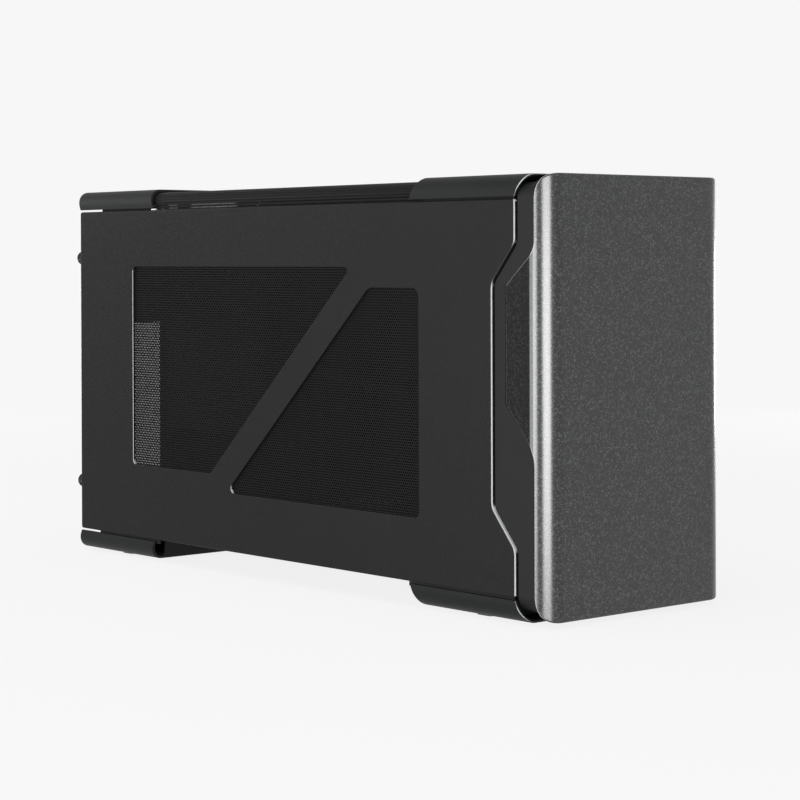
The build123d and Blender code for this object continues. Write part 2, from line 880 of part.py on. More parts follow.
# Screws: pan heads on shanks, all along Y
def build_screws(places, seat_y, turn, head, shank, reach):
    """A group of screws whose heads stand on seat_y: turn is 1 for heads to the rear, -1 to the front."""
    with BuildPart() as screws:
        with BuildSketch(facing(seat_y)):
            with Locations(*places):
                Circle(head)
        extrude(amount=-turn * screw_head_height)
        with BuildSketch(facing(seat_y)):
            with Locations(*places):
                Circle(shank)
        extrude(amount=turn * reach)
    return screws


front_reach = wall_rear - boss_front - boss_tip - screw_head_height
front_screws = build_screws(boss_places, wall_rear, 1, wall_screw_head, wall_screw, front_reach)
front_screws.part.label = "front_screws"
export_step(front_screws.part, "parts/front_screws.step")

# Case fan: square frame, four struts and a hub seat that the rotor's shaft runs in
fan_front = wall_rear
fan_rear = fan_front + fan_depth
with BuildPart() as fan_frame:
    with BuildSketch(facing(fan_front)):
        with Locations((0, fan_z)):
            RectangleRounded(fan_size, fan_size, fan_corner)
            Circle(fan_bore, mode=Mode.SUBTRACT)
    extrude(amount=-fan_depth)
    with BuildSketch(facing(fan_rear)):
        with Locations((0, fan_z)):
            Circle(fan_hub_seat)
            Rectangle(fan_strut, fan_bore + fan_size / 2)
            Rectangle(fan_bore + fan_size / 2, fan_strut)
    extrude(amount=fan_seat_depth)
    with BuildSketch(facing(fan_front)):
        with Locations(*fan_places):
            Circle(wall_screw + screw_clear)
        with Locations((0, fan_z)):
            Circle(fan_shaft + running_clear)
    extrude(amount=-fan_depth, mode=Mode.SUBTRACT)
fan_frame.part.label = "fan_frame"
export_step(fan_frame.part, "parts/fan_frame.step")

fan_screws = build_screws(fan_places, wall_front, -1, wall_screw_head, wall_screw, screw_reach)
fan_screws.part.label = "fan_screws"
export_step(fan_screws.part, "parts/fan_screws.step")


def build_rotor(seat, hub, tip, depth, blades, shaft_length):
    """A fan rotor that stands on the seat plane, with its shaft through the seat."""
    with BuildPart() as blade:
        for radius, chord, pitch in (
            (hub - blade_root_sink, blade_root_chord, blade_root_pitch),
            (tip, blade_tip_chord, blade_tip_pitch),
        ):
            with BuildSketch(Plane((radius, 0, depth / 2), x_dir=(0, 1, 0), z_dir=(1, 0, 0))):
                Rectangle(min(chord, depth / sin(radians(pitch))), blade_sheet, rotation=pitch)
        loft(ruled=True)
    with BuildPart() as rotor:
        with BuildSketch(Plane.XY):
            Circle(hub)
        extrude(amount=depth)
        fillet(rotor.edges().group_by(Axis.Z)[-1], blade_root_sink)
        with PolarLocations(0, blades):
            add(blade.part)
        with BuildSketch(Plane.XY):
            Circle(fan_shaft)
        extrude(amount=-shaft_length)
    return rotor.part.moved(seat.location)


fan_seat_y = fan_rear - fan_seat_depth - seat_gap
with BuildPart() as fan_rotor:
    add(
        build_rotor(
            Plane((0, fan_seat_y, fan_z), x_dir=(1, 0, 0), z_dir=(0, -1, 0)),
            fan_hub,
            fan_tip,
            fan_seat_y - fan_front - fan_front_gap,
            fan_blades,
            fan_seat_depth,
        )
    )
fan_rotor.part.label = "fan_rotor"
export_step(fan_rotor.part, "parts/fan_rotor.step")

# Rear panel: card-bracket opening, power supply cut-out, ports and the bushes of the thumbscrews
psu_screw_places = [
    (x, z)
    for x in (psu_left + psu_screw_inset, psu_right - psu_screw_inset)
    for z in (psu_bottom + psu_screw_inset, psu_top - psu_screw_inset)
]
usb_a_places = [board_half - usb_a_inset - i * usb_a_pitch for i in range(usb_a_count)]
usb_c_x = usb_a_places[-1] - usb_c_gap
thumb_places = [(-thumb_x, z) for z in thumb_heights]
panel_screw_places = [(thumb_x, z) for z in right_heights]
cutout_inset = psu_screw_inset + cutout_margin
with BuildPart() as rear_panel:
    with BuildSketch(facing(rear_outer)):
        with Locations((0, (floor_bottom + roof_top) / 2)):
            Rectangle(2 * chassis_half, roof_top - floor_bottom)
        with Locations((bracket_mid_x, (bracket_bottom + bracket_top) / 2)):
            Rectangle(bracket_width, bracket_top - bracket_bottom, mode=Mode.SUBTRACT)
        with Locations((psu_mid_x, psu_mid_z)):
            Rectangle(psu_width - 2 * cutout_inset, psu_height - 2 * cutout_inset, mode=Mode.SUBTRACT)
        with Locations(*[(x, board_top + usb_a_height / 2) for x in usb_a_places]):
            Rectangle(usb_a_width + 2 * port_clear, usb_a_height + 2 * port_clear, mode=Mode.SUBTRACT)
        with Locations((usb_c_x, board_top + usb_c_height / 2)):
            SlotOverall(usb_c_width + 2 * port_clear, usb_c_height + 2 * port_clear, mode=Mode.SUBTRACT)
        with Locations(*psu_screw_places):
            Circle(screw_shank + screw_clear, mode=Mode.SUBTRACT)
    extrude(amount=rear_sheet)
    with BuildSketch(facing(rear_inner)):
        with Locations(*thumb_places, *panel_screw_places):
            Circle(bush_radius)
    extrude(amount=bush_length)
    with BuildSketch(facing(rear_outer)):
        with Locations(*thumb_places):
            Circle(thumb_shank + thread_clear)
        with Locations(*panel_screw_places):
            Circle(screw_shank + screw_clear)
    extrude(amount=rear_sheet + bush_length, mode=Mode.SUBTRACT)
rear_panel.part.label = "rear_panel"
export_step(rear_panel.part, "parts/rear_panel.step")

right_panel_screws = build_screws(panel_screw_places, panel_rear, 1, screw_head, screw_shank, screw_reach)
right_panel_screws.part.label = "right_panel_screws"
export_step(right_panel_screws.part, "parts/right_panel_screws.step")


# Thumbscrews, captive in the fold of the left panel
def build_thumbscrew(z):
    """A thumbscrew with a chamfered head, a driver slot and a plain shank."""
    with BuildPart() as screw:
        with BuildSketch(facing(panel_rear)):
            with Locations((-thumb_x, z)):
                Circle(thumb_head)
        extrude(amount=-thumb_length)
        chamfer(screw.edges().group_by(Axis.Y)[-1], thumb_chamfer)
        with BuildSketch(facing(panel_rear + thumb_length)):
            with Locations((-thumb_x, z)):
                Rectangle(2 * thumb_head, thumb_slot)
        extrude(amount=thumb_slot_depth, mode=Mode.SUBTRACT)
        with BuildSketch(facing(panel_rear)):
            with Locations((-thumb_x, z)):
                Circle(thumb_shank)
        extrude(amount=thumb_reach)
    return screw


thumbscrew_upper = build_thumbscrew(thumb_heights[0])
thumbscrew_upper.part.label = "thumbscrew_upper"
export_step(thumbscrew_upper.part, "parts/thumbscrew_upper.step")

thumbscrew_lower = build_thumbscrew(thumb_heights[1])
thumbscrew_lower.part.label = "thumbscrew_lower"
export_step(thumbscrew_lower.part, "parts/thumbscrew_lower.step")

# Shelf above the card-bracket opening, with one threaded hole for each slot
shelf_bottom = bracket_top + shelf_drop
shelf_top = shelf_bottom + rear_sheet
with BuildPart() as bracket_shelf:
    with BuildSketch(Plane.YZ):
        with BuildLine():
            Polyline(
                (rear_inner, shelf_bottom),
                (rear_inner, shelf_bottom + shelf_height),
                (rear_inner - rear_sheet, shelf_bottom + shelf_height),
                (rear_inner - rear_sheet, shelf_top),
                (rear_inner - shelf_depth, shelf_top),
                (rear_inner - shelf_depth, shelf_bottom),
                close=True,
            )
        make_face()
    extrude(amount=half_width, both=True)
    with BuildSketch(facing(rear_inner)):
        with Locations((bracket_mid_x, shelf_bottom + shelf_height / 2)):
            Rectangle(bracket_width, shelf_height)
    extrude(amount=shelf_depth, mode=Mode.INTERSECT)
    with BuildSketch(level(shelf_bottom)):
        with Locations((bracket_mid_x, rear_inner - shelf_depth / 2)):
            with GridLocations(slot_pitch, 1, 2, 1):
                Circle(shelf_hole)
    extrude(amount=rear_sheet, mode=Mode.SUBTRACT)
bracket_shelf.part.label = "bracket_shelf"
export_step(bracket_shelf.part, "parts/bracket_shelf.step")

# Power supply: a closed steel box with a fan recess on its right and pockets in its rear face
inlet_x = psu_mid_x - inlet_shift
inlet_z = psu_bottom + inlet_rise
switch_z = inlet_z + switch_rise
lead_exit_x = psu_right - lead_exit_inset
lead_exit_z = psu_bottom + lead_exit_rise
grille_sides = (psu_left + cutout_inset, psu_right - cutout_inset)
grille_fields = [
    (inlet_z + inlet_height / 2 + inlet_flange, switch_z - switch_height / 2 - switch_flange),
    (switch_z + switch_height / 2 + switch_flange, psu_top - cutout_inset),
]
with BuildPart() as psu_case:
    with BuildSketch(level(psu_bottom)):
        with Locations((psu_mid_x, psu_mid_y)):
            Rectangle(psu_width, psu_depth)
    extrude(amount=psu_height)
    chamfer(psu_case.edges().filter_by(Axis.Z), psu_edge)
    with BuildSketch(across(psu_right)):
        with Locations((psu_mid_y, psu_mid_z)):
            Circle(psu_fan_bore)
    extrude(amount=-psu_fan_recess, mode=Mode.SUBTRACT)
    with BuildSketch(across(psu_right)):
        with Locations((psu_mid_y, psu_mid_z)):
            Circle(psu_fan_bore + guard_rim + guard_clear)
    extrude(amount=-guard_sheet, mode=Mode.SUBTRACT)
    with BuildSketch(across(psu_right - psu_fan_recess)):
        with Locations((psu_mid_y, psu_mid_z)):
            Circle(psu_boss)
    extrude(amount=psu_boss_height)
    with BuildSketch(across(psu_right - psu_fan_recess + psu_boss_height)):
        with Locations((psu_mid_y, psu_mid_z)):
            Circle(fan_shaft + running_clear)
    extrude(amount=-psu_boss_height - seat_gap, mode=Mode.SUBTRACT)
    with BuildSketch(facing(psu_rear)):
        with Locations((inlet_x, inlet_z)):
            Rectangle(inlet_width + 2 * inlet_clear, inlet_height + 2 * inlet_clear)
    extrude(amount=inlet_depth + inlet_clear, mode=Mode.SUBTRACT)
    with BuildSketch(facing(psu_rear)):
        with Locations((inlet_x, switch_z)):
            Rectangle(switch_width + 2 * inlet_clear, switch_height + 2 * inlet_clear)
    extrude(amount=switch_depth + inlet_clear, mode=Mode.SUBTRACT)
    with BuildSketch(facing(psu_rear)):
        with Locations(*psu_screw_places):
            Circle(screw_shank + screw_clear)
    extrude(amount=screw_reach, mode=Mode.SUBTRACT)
    with BuildSketch(facing(psu_rear)):
        for low, high in grille_fields:
            left, right = grille_sides
            field = [(left, low), (right, low), (right, high), (left, high)]
            with Locations(*hexagon_lattice(field, psu_grille_pitch, psu_grille_hole / 2)):
                RegularPolygon(psu_grille_hole / 2, 6, major_radius=False)
    extrude(amount=psu_grille_depth, mode=Mode.SUBTRACT)
psu_case.part.label = "psu_case"
export_step(psu_case.part, "parts/psu_case.step")

psu_seat_x = psu_right - psu_fan_recess + psu_boss_height + seat_gap
with BuildPart() as psu_fan_rotor:
    add(
        build_rotor(
            Plane((psu_seat_x, psu_mid_y, psu_mid_z), x_dir=(0, 1, 0), z_dir=(1, 0, 0)),
            psu_fan_hub,
            psu_fan_tip,
            psu_fan_depth,
            psu_fan_blades,
            psu_boss_height,
        )
    )
psu_fan_rotor.part.label = "psu_fan_rotor"
export_step(psu_fan_rotor.part, "parts/psu_fan_rotor.step")

# Stamped guard over the power supply's fan
guard_outer = psu_fan_bore + guard_rim
with BuildPart() as psu_fan_guard:
    with BuildSketch(across(psu_right)):
        with Locations((psu_mid_y, psu_mid_z)):
            Circle(guard_outer)
            Circle(guard_outer - guard_ring - guard_rim, mode=Mode.SUBTRACT)
            for i in range(1, guard_rings):
                Circle(guard_outer * i / guard_rings + guard_ring / 2)
                Circle(guard_outer * i / guard_rings - guard_ring / 2, mode=Mode.SUBTRACT)
    extrude(amount=-guard_sheet)
    with BuildSketch(across(psu_right)):
        with Locations((psu_mid_y, psu_mid_z)):
            with PolarLocations(0, 4):
                Rectangle(guard_outer - guard_ring / 2, guard_spoke, align=(Align.MIN, Align.CENTER))
    extrude(amount=-guard_sheet)
psu_fan_guard.part.label = "psu_fan_guard"
export_step(psu_fan_guard.part, "parts/psu_fan_guard.step")

# Shelf under the power supply, with a leg on the floor beside the board
psu_shelf_y = psu_front + psu_shelf_start
with BuildPart() as psu_shelf:
    with BuildSketch(facing(psu_shelf_y)):
        with BuildLine():
            Polyline(
                (psu_left, psu_bottom),
                (psu_right, psu_bottom),
                (psu_right, floor_top),
                (psu_right - psu_shelf_sheet, floor_top),
                (psu_right - psu_shelf_sheet, psu_bottom - psu_shelf_sheet),
                (psu_left, psu_bottom - psu_shelf_sheet),
                close=True,
            )
        make_face()
    extrude(amount=-psu_shelf_length)
psu_shelf.part.label = "psu_shelf"
export_step(psu_shelf.part, "parts/psu_shelf.step")

psu_screws = build_screws(psu_screw_places, rear_outer, 1, screw_head, screw_shank, screw_reach)
psu_screws.part.label = "psu_screws"
export_step(psu_screws.part, "parts/psu_screws.step")

# Mains inlet: a flanged socket with two cut corners and three pins
inlet_front = psu_rear - inlet_depth
inlet_face = psu_rear + inlet_flange_depth
with BuildPart() as psu_inlet:
    with BuildSketch(facing(inlet_front)):
        with Locations((inlet_x, inlet_z)):
            Rectangle(inlet_width, inlet_height)
    extrude(amount=-inlet_depth)
    with BuildSketch(facing(psu_rear)):
        with Locations((inlet_x, inlet_z)):
            Rectangle(inlet_width + 2 * inlet_flange, inlet_height + 2 * inlet_flange)
    extrude(amount=-inlet_flange_depth)
    with BuildSketch(facing(inlet_face)) as mouth:
        with Locations((inlet_x, inlet_z)):
            Rectangle(inlet_width - 2 * inlet_wall, inlet_height - 2 * inlet_wall)
        chamfer(mouth.vertices().group_by(Axis.Z)[-1], inlet_chamfer)
    extrude(amount=inlet_cavity, mode=Mode.SUBTRACT)
    with BuildSketch(facing(inlet_face - inlet_cavity)):
        with Locations(
            (inlet_x - pin_pitch, inlet_z - pin_offset),
            (inlet_x, inlet_z + pin_offset),
            (inlet_x + pin_pitch, inlet_z - pin_offset),
        ):
            Rectangle(pin_width, 2 * pin_width)
    extrude(amount=-pin_length)
psu_inlet.part.label = "psu_inlet"
export_step(psu_inlet.part, "parts/psu_inlet.step")

# Rocker switch: an open housing and a rocker on two short pins
pivot_y = psu_rear - rocker_pivot
with BuildPart() as psu_switch_housing:
    with BuildSketch(facing(psu_rear - switch_depth)):
        with Locations((inlet_x, switch_z)):
            Rectangle(switch_width, switch_height)
    extrude(amount=-switch_depth)
    with BuildSketch(facing(psu_rear)):
        with Locations((inlet_x, switch_z)):
            Rectangle(switch_width + 2 * switch_flange, switch_height + 2 * switch_flange)
    extrude(amount=-switch_flange_depth)
    with BuildSketch(facing(psu_rear + switch_flange_depth)):
        with Locations((inlet_x, switch_z)):
            Rectangle(switch_width - 2 * switch_wall, switch_height - 2 * switch_wall)
    extrude(amount=switch_depth + switch_flange_depth - switch_wall, mode=Mode.SUBTRACT)
    with BuildSketch(across(inlet_x)):
        with Locations((pivot_y, switch_z)):
            Circle(rocker_pin + running_clear)
    extrude(amount=switch_width / 2, both=True, mode=Mode.SUBTRACT)
psu_switch_housing.part.label = "psu_switch_housing"
export_step(psu_switch_housing.part, "parts/psu_switch_housing.step")

rocker_axis = (0, cos(radians(rocker_tilt)), sin(radians(rocker_tilt)))
rocker_plane = Plane((inlet_x, pivot_y, switch_z), x_dir=rocker_axis, z_dir=(1, 0, 0))
with BuildPart() as psu_switch_rocker:
    with BuildSketch(rocker_plane):
        with BuildLine():
            Polyline(
                (-rocker_skirt, -rocker_half),
                (rocker_rise, -rocker_half),
                (rocker_dip, 0),
                (rocker_rise, rocker_half),
                (-rocker_skirt, rocker_half),
                (-rocker_keel, rocker_foot),
                (-rocker_keel, -rocker_foot),
                close=True,
            )
        make_face()
    extrude(amount=rocker_width / 2, both=True)
    with BuildSketch(rocker_plane):
        Circle(rocker_pin)
    extrude(amount=switch_width / 2 - switch_wall / 2, both=True)
psu_switch_rocker.part.label = "psu_switch_rocker"
export_step(psu_switch_rocker.part, "parts/psu_switch_rocker.step")

# Host board on standoffs above the floor
board_places = [
    (x, y)
    for x in (-board_half + board_hole_inset, board_half - board_hole_inset)
    for y in (
        board_front + board_hole_inset,
        (board_front + board_rear) / 2,
        board_rear - board_hole_inset,
    )
]
with BuildPart() as host_board:
    with BuildSketch(level(board_bottom)):
        with Locations((0, (board_front + board_rear) / 2)):
            RectangleRounded(2 * board_half, board_rear - board_front, board_corner)
        with Locations(*board_places):
            Circle(screw_shank + screw_clear, mode=Mode.SUBTRACT)
    extrude(amount=board_sheet)
host_board.part.label = "host_board"
export_step(host_board.part, "parts/host_board.step")

with BuildPart() as board_standoffs:
    with BuildSketch(level(floor_top)):
        with Locations(*board_places):
            RegularPolygon(standoff_radius, 6)
            Circle(screw_shank + screw_clear, mode=Mode.SUBTRACT)
    extrude(amount=board_lift)
board_standoffs.part.label = "board_standoffs"
export_step(board_standoffs.part, "parts/board_standoffs.step")

with BuildPart() as board_screws:
    with BuildSketch(level(board_top)):
        with Locations(*board_places):
            Circle(screw_head)
    extrude(amount=screw_head_height)
    with BuildSketch(level(board_top)):
        with Locations(*board_places):
            Circle(screw_shank)
    extrude(amount=-board_sheet - board_lift / 2)
board_screws.part.label = "board_screws"
export_step(board_screws.part, "parts/board_screws.step")

# Card slot: a keyed slit in a moulded body, with two arms at its front end that hold the latch
slot_x = bracket_right - slot_offset
slot_end = rear_inner - slot_rear_gap
slot_start = slot_end - slot_length
slot_mid_y = (slot_start + slot_end) / 2
key_y = slot_end - slot_key_offset
arm_half = slot_width / 2
latch_half = arm_half - latch_arm_width - latch_clear
latch_y = slot_start - latch_pivot_y
latch_z = board_top + latch_pivot_z
with BuildPart() as pcie_slot:
    with BuildSketch(level(board_top)):
        with Locations((slot_x, slot_mid_y)):
            Rectangle(slot_width, slot_length)
        for side in (-1, 1):
            with Locations((slot_x + side * (arm_half - latch_arm_width / 2), slot_start - latch_arm / 2)):
                Rectangle(latch_arm_width, latch_arm)
    extrude(amount=slot_height)
    with BuildSketch(level(board_top + slot_height)):
        with Locations((slot_x, slot_mid_y)):
            Rectangle(slot_slit, slot_length - 2 * slot_end_wall)
        with Locations((slot_x, key_y)):
            Rectangle(slot_slit, slot_key, mode=Mode.SUBTRACT)
    extrude(amount=-slot_slit_depth, mode=Mode.SUBTRACT)
    with BuildSketch(across(slot_x)):
        with Locations((latch_y, latch_z)):
            Circle(latch_pin + running_clear)
    extrude(amount=slot_width / 2, both=True, mode=Mode.SUBTRACT)
pcie_slot.part.label = "pcie_slot"
export_step(pcie_slot.part, "parts/pcie_slot.step")

with BuildPart() as pcie_latch:
    with BuildSketch(across(slot_x)):
        with BuildLine():
            Polyline(
                (latch_y - latch_pin * 2, latch_z - latch_pin * 2),
                (latch_y + latch_pin * 2, latch_z - latch_pin * 2),
                (latch_y + latch_pin * 2, board_top + slot_height + latch_clear),
                (slot_start + latch_hook, board_top + slot_height + latch_clear),
                (latch_y + latch_pin * 2, board_top + latch_height),
                (latch_y - latch_hook * 2, board_top + latch_height),
                (latch_y - latch_pin * 2, board_top + slot_height - latch_pin * 2),
                close=True,
            )
        make_face()
    extrude(amount=latch_half, both=True)
    with BuildSketch(across(slot_x)):
        with Locations((latch_y, latch_z)):
            Circle(latch_pin)
    extrude(amount=arm_half - latch_arm_width / 2, both=True)
pcie_latch.part.label = "pcie_latch"
export_step(pcie_latch.part, "parts/pcie_latch.step")

# Finned heatsink on the controller
sink_x = board_half - sink_side_gap
sink_y = board_rear - sink_rear_gap
with BuildPart() as controller_heatsink:
    with BuildSketch(level(board_top)):
        with Locations((sink_x, sink_y)):
            Rectangle(sink_size, sink_size)
    extrude(amount=sink_base)
    with BuildSketch(level(board_top + sink_base)):
        with Locations((sink_x, sink_y)):
            with GridLocations((sink_size - sink_fin) / (sink_fins - 1), 1, sink_fins, 1):
                Rectangle(sink_fin, sink_size)
    extrude(amount=sink_height - sink_base)
controller_heatsink.part.label = "controller_heatsink"
export_step(controller_heatsink.part, "parts/controller_heatsink.step")

# Ports on the rear edge of the board, flush with the rear panel
with BuildPart() as usb_a_sockets:
    with BuildSketch(facing(rear_outer)):
        with Locations(*[(x, board_top + usb_a_height / 2) for x in usb_a_places]):
            Rectangle(usb_a_width, usb_a_height)
    extrude(amount=usb_a_depth)
    with BuildSketch(facing(rear_outer)):
        with Locations(*[(x, board_top + usb_a_height / 2) for x in usb_a_places]):
            Rectangle(usb_a_width - 2 * usb_wall, usb_a_height - 2 * usb_wall)
    extrude(amount=usb_a_depth - usb_wall, mode=Mode.SUBTRACT)
    with BuildSketch(facing(rear_outer - usb_tongue_margin)):
        with Locations(*[(x, board_top + usb_a_height - usb_wall - usb_tongue) for x in usb_a_places]):
            Rectangle(usb_a_width - 2 * usb_wall - 2 * usb_tongue_margin, usb_tongue)
    extrude(amount=usb_a_depth - usb_wall - usb_tongue_margin)
usb_a_sockets.part.label = "usb_a_sockets"
export_step(usb_a_sockets.part, "parts/usb_a_sockets.step")

with BuildPart() as usb_c_socket:
    with BuildSketch(facing(rear_outer)):
        with Locations((usb_c_x, board_top + usb_c_height / 2)):
            SlotOverall(usb_c_width, usb_c_height)
    extrude(amount=usb_c_depth)
    with BuildSketch(facing(rear_outer)):
        with Locations((usb_c_x, board_top + usb_c_height / 2)):
            SlotOverall(usb_c_width - 2 * usb_wall, usb_c_height - 2 * usb_wall)
    extrude(amount=usb_c_depth - usb_wall, mode=Mode.SUBTRACT)
    with BuildSketch(facing(rear_outer - usb_tongue_margin)):
        with Locations((usb_c_x, board_top + usb_c_height / 2)):
            Rectangle(usb_c_width - usb_c_height, usb_c_tongue)
    extrude(amount=usb_c_depth - usb_wall - usb_tongue_margin)
usb_c_socket.part.label = "usb_c_socket"
export_step(usb_c_socket.part, "parts/usb_c_socket.step")

# Power socket on the board and the plug in it
socket_x = board_half - socket_side_gap
socket_y = board_front + socket_front_gap
socket_top = board_top + socket_height
with BuildPart() as board_power_socket:
    with BuildSketch(level(board_top)):
        with Locations((socket_x, socket_y)):
            Rectangle(socket_width, socket_depth)
    extrude(amount=socket_height)
    with BuildSketch(level(socket_top)):
        with Locations((socket_x, socket_y)):
            Rectangle(socket_width - 2 * socket_wall, socket_depth - 2 * socket_wall)
    extrude(amount=-socket_pocket, mode=Mode.SUBTRACT)
board_power_socket.part.label = "board_power_socket"
export_step(board_power_socket.part, "parts/board_power_socket.step")

plug_bottom = socket_top - socket_pocket
plug_top = plug_bottom + plug_height
plug_half_depth = socket_depth / 2 - socket_wall - plug_clear
with BuildPart() as power_plug:
    with BuildSketch(level(plug_bottom)):
        with Locations((socket_x, socket_y)):
            Rectangle(socket_width - 2 * socket_wall - 2 * plug_clear, 2 * plug_half_depth)
    extrude(amount=plug_height)
    with BuildSketch(level(socket_top)):
        with Locations((socket_x, socket_y)):
            Rectangle(socket_width, socket_depth)
    extrude(amount=plug_collar)
    with BuildSketch(level(socket_top)):
        with Locations((socket_x, socket_y - plug_half_depth - plug_latch)):
            Rectangle(plug_latch_width, 2 * plug_latch)
    extrude(amount=plug_top - socket_top)
    fillet(power_plug.edges().filter_by(Axis.X).sort_by(Axis.Z)[-2:], plug_collar)
power_plug.part.label = "power_plug"
export_step(power_plug.part, "parts/power_plug.step")

# Lead: straight runs joined by arcs as large as the runs allow, from the plug to the power supply
lead_route = [
    Vector(socket_x, socket_y, plug_top),
    Vector(socket_x, socket_y, plug_top + lead_rise),
    Vector(18, -46, 89),
    Vector(15, -11, 102),
    Vector(17, 30, 105),
    Vector(lead_exit_x, psu_front - lead_run, lead_exit_z),
    Vector(lead_exit_x, psu_front, lead_exit_z),
]
lead_radii = []
for before, corner, after in zip(lead_route, lead_route[1:], lead_route[2:]):
    turn = (corner - before).get_angle(after - corner)
    shorter = min((corner - before).length, (after - corner).length)
    lead_radii.append(lead_bend_share * shorter / tan(radians(turn / 2)))
print("lead bend radii", [round(radius, 1) for radius in lead_radii])
with BuildPart() as power_lead:
    with BuildLine():
        route = FilletPolyline(*lead_route, radius=lead_radii)
    with BuildSketch(Plane(route @ 0, z_dir=route % 0)):
        Circle(lead_radius)
    sweep()
power_lead.part.label = "power_lead"
export_step(power_lead.part, "parts/power_lead.step")

with BuildPart() as lead_grommet:
    with BuildSketch(facing(psu_front)):
        with Locations((lead_exit_x, lead_exit_z)):
            Circle(grommet_radius)
            Circle(lead_radius + grommet_clear, mode=Mode.SUBTRACT)
    extrude(amount=grommet_length)
    fillet(lead_grommet.edges().group_by(Axis.Y)[0].sort_by(SortBy.RADIUS)[-1:], grommet_length / 2)
lead_grommet.part.label = "lead_grommet"
export_step(lead_grommet.part, "parts/lead_grommet.step")
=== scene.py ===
# %% [markdown]
# # Dressing an external graphics card enclosure
# The solids of the case come from CAD and are already in place, in metres. This lesson gives them
# their finishes, puts fine perforated sheets where CAD has coarse ones, gives the outer screws their
# knurls and driver recesses, and sets the camera and light of a plain product picture.

# %% Load the solids as a fixed frame
import json
import math

import bmesh
import bpy
from mathutils import Matrix, Vector


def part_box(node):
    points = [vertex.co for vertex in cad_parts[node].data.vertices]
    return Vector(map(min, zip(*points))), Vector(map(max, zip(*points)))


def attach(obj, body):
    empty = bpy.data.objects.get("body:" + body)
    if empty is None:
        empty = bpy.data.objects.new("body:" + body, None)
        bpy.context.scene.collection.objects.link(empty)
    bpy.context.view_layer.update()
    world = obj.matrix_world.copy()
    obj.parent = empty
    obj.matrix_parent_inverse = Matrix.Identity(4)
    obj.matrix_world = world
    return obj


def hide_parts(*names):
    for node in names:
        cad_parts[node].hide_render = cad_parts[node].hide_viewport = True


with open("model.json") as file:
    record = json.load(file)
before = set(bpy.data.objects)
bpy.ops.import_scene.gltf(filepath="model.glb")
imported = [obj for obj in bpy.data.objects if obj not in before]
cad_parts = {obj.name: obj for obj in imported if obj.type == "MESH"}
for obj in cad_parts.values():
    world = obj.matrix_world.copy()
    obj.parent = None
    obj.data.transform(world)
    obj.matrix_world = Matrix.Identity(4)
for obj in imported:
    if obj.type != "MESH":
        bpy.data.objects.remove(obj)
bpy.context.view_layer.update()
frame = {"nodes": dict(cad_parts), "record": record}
MM = 0.001

# %% [markdown]
# ## Camera
# The picture was taken at about the height of the case's upper third with a long lens. Its upright edges
# stay parallel, so the camera is nearly level and the lens is shifted down instead of tilted.
# A level camera with a shift gives that in Blender too, without bending the case's uprights.

# %% Camera
CAMERA_PLACE = Vector((-803.3, -948.0, 176.7)) * MM
yaw, pitch, roll = (math.radians(angle) for angle in (40.97, -0.42, -0.18))
forward = Vector((math.sin(yaw) * math.cos(pitch), math.cos(yaw) * math.cos(pitch), math.sin(pitch)))
level_right = Vector((math.cos(yaw), -math.sin(yaw), 0.0))
level_up = level_right.cross(forward)
right = level_right * math.cos(roll) + level_up * math.sin(roll)
up = level_up * math.cos(roll) - level_right * math.sin(roll)

camera_data = bpy.data.cameras.new("camera")
camera_data.sensor_width = 36.0
camera_data.lens = 100.06
camera_data.shift_x = 0.0026
camera_data.shift_y = -0.1576
camera = bpy.data.objects.new("camera", camera_data)
rows = [[right[i], up[i], -forward[i], CAMERA_PLACE[i]] for i in range(3)]
camera.matrix_world = Matrix(rows + [[0.0, 0.0, 0.0, 1.0]])
bpy.context.scene.collection.objects.link(camera)
bpy.context.scene.camera = camera
bpy.context.scene.view_settings.view_transform = "Standard"
print("camera", camera_data.lens, "mm at", [round(value, 3) for value in CAMERA_PLACE])

# %% [markdown]
# ## Node helpers
# Every finish is a small network of nodes. Colours are noted as sRGB hex values, as a paint chart has
# them, and Blender wants linear light, so one function converts them. One more function adds a node
# with its settings and links, which keeps each recipe short enough to read.

# %% Node helpers
def linear(hex_colour):
    """An sRGB hex value as a linear colour with full opacity."""
    channels = [int(hex_colour[i:i + 2], 16) / 255 for i in (1, 3, 5)]
    return [c / 12.92 if c <= 0.04045 else ((c + 0.055) / 1.055) ** 2.4 for c in channels] + [1.0]


def add_node(tree, kind, inputs=None, **settings):
    """A new node: settings are its properties, inputs are values or the sockets that feed it."""
    node = tree.nodes.new(kind)
    for name, value in settings.items():
        setattr(node, name, value)
    for name, value in (inputs or {}).items():
        if isinstance(value, bpy.types.NodeSocket):
            tree.links.new(value, node.inputs[name])
        else:
            node.inputs[name].default_value = value
    return node


def empty_tree(owner):
    """The node tree of a material or world, cleared."""
    owner.use_nodes = True
    owner.node_tree.nodes.clear()
    return owner.node_tree


print("middle grey in linear light", round(linear("#808080")[0], 3))

# %% [markdown]
# ## Background
# The case stands before a plain white background. One world could light it and be seen, but it would
# then be far too bright as a lamp. So the world has two strengths: a weak fill for the light that falls
# on the case, and the pale background for rays that show it: to the eye, in gloss or through glass.

# %% Background
PALE = "#F7F7F7"
FILL_STRENGTH = 0.25


def seen_directly(tree):
    """A socket that is 1 for rays that show the background: camera, mirror-like and see-through ones."""
    path = add_node(tree, "ShaderNodeLightPath")
    shown = path.outputs["Is Camera Ray"]
    for other in ("Is Glossy Ray", "Is Transmission Ray"):
        either = add_node(tree, "ShaderNodeMath", {0: shown, 1: path.outputs[other]}, operation="MAXIMUM")
        shown = either.outputs[0]
    return shown


